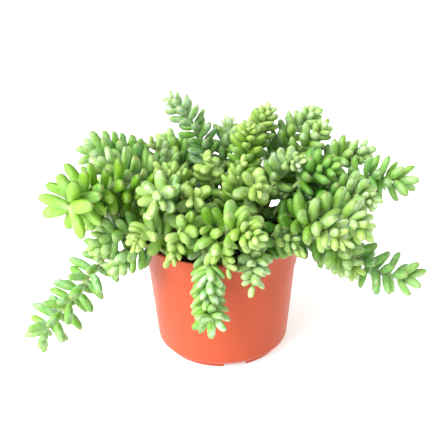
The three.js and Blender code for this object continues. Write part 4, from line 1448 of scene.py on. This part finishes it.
def make_world(strength):
    """Soft light from all around, brighter from the left and above than from the right."""
    world = bpy.data.worlds.new("surround")
    world.use_nodes = True
    nodes = Nodes(world.node_tree)
    coordinates = nodes.add("ShaderNodeTexCoord").outputs["Generated"]
    way = nodes.add("ShaderNodeSeparateXYZ", {"Vector": coordinates}).outputs
    across = nodes.spread(way["X"], -0.9, 0.9, 1.35, 0.30)
    above = nodes.spread(way["Z"], -0.2, 1.0, 0.75, 1.15)
    behind = nodes.spread(way["Y"], 0.0, 0.9, 1.0, 0.4)
    level = nodes.product(nodes.product(across, above), nodes.product(behind, strength))
    seen = nodes.add("ShaderNodeLightPath").outputs["Is Camera Ray"]
    level = nodes.math("MAXIMUM", level, nodes.product(seen, BACKDROP))
    nodes.feed(world.node_tree.nodes["Background"], {"Color": rgba(WHITE), "Strength": level})
    bpy.context.scene.world = world


def make_stage(stage):
    """Pale floor, soft light from all around, and the camera."""
    half = FLOOR_SIZE / 2
    corners = [(-half, -half, 0), (half, -half, 0), (half, half, 0), (-half, half, 0)]
    floor = add_object("floor", mesh_from("floor", corners, [(0, 1, 2, 3)]))
    floor.data.materials.append(floor_material(stage.floor_colour))
    key_light(stage.key_power)
    strip_light("left_strip", (-0.50, -0.30, 0.25), (0.30, 0.5), 1.2)
    strip_light("right_strip", (0.55, 0.14, 0.22), (0.06, 0.4), 1.1)
    make_world(stage.surround)
    bpy.context.scene.view_settings.view_transform = "Standard"
    make_camera()


# ------------------------------------------------------------------ operators and panel


class BURRO_OT_pot(bpy.types.Operator):
    """Makes the nursery pot."""

    bl_idname = "burro.pot"
    bl_label = "Nursery pot"

    def execute(self, context):
        make_pot(context.scene.burro_pot)
        return {"FINISHED"}


class BURRO_OT_soil(bpy.types.Operator):
    """Makes the potting soil and its crumbs."""

    bl_idname = "burro.soil"
    bl_label = "Potting soil"

    def execute(self, context):
        make_soil(context.scene.burro_soil)
        return {"FINISHED"}


class BURRO_OT_shoots(bpy.types.Operator):
    """Grows the leafy shoots and settles their leaves against each other."""

    bl_idname = "burro.shoots"
    bl_label = "Leafy shoots"

    def execute(self, context):
        make_shoots(context.scene.burro_shoots, context.scene.burro_pot)
        return {"FINISHED"}


class BURRO_OT_stage(bpy.types.Operator):
    """Sets the floor, the light and the camera."""

    bl_idname = "burro.stage"
    bl_label = "Stage"

    def execute(self, context):
        make_stage(context.scene.burro_stage)
        return {"FINISHED"}


OPERATORS = (BURRO_OT_pot, BURRO_OT_soil, BURRO_OT_shoots, BURRO_OT_stage)


class VIEW3D_PT_burro(bpy.types.Panel):
    """Lists the settings and the operators of the plant."""

    bl_label = "Burro's tail"
    bl_space_type = "VIEW_3D"
    bl_region_type = "UI"
    bl_category = "Burro's tail"

    def draw(self, context):
        for name, operator in zip(SETTINGS, OPERATORS):
            box = self.layout.box()
            settings = getattr(context.scene, name)
            for key in settings.__annotations__:
                box.prop(settings, key)
            box.operator(operator.bl_idname)


def register():
    for name, group in SETTINGS.items():
        bpy.utils.register_class(group)
        setattr(bpy.types.Scene, name, PointerProperty(type=group))
    for operator in OPERATORS:
        bpy.utils.register_class(operator)
    bpy.utils.register_class(VIEW3D_PT_burro)


def unregister():
    bpy.utils.unregister_class(VIEW3D_PT_burro)
    for operator in reversed(OPERATORS):
        bpy.utils.unregister_class(operator)
    for name, group in SETTINGS.items():
        delattr(bpy.types.Scene, name)
        bpy.utils.unregister_class(group)


def main():
    register()
    bpy.ops.burro.stage()
    bpy.ops.burro.pot()
    bpy.ops.burro.soil()
    bpy.ops.burro.shoots()


if __name__ == "__main__":
    main()
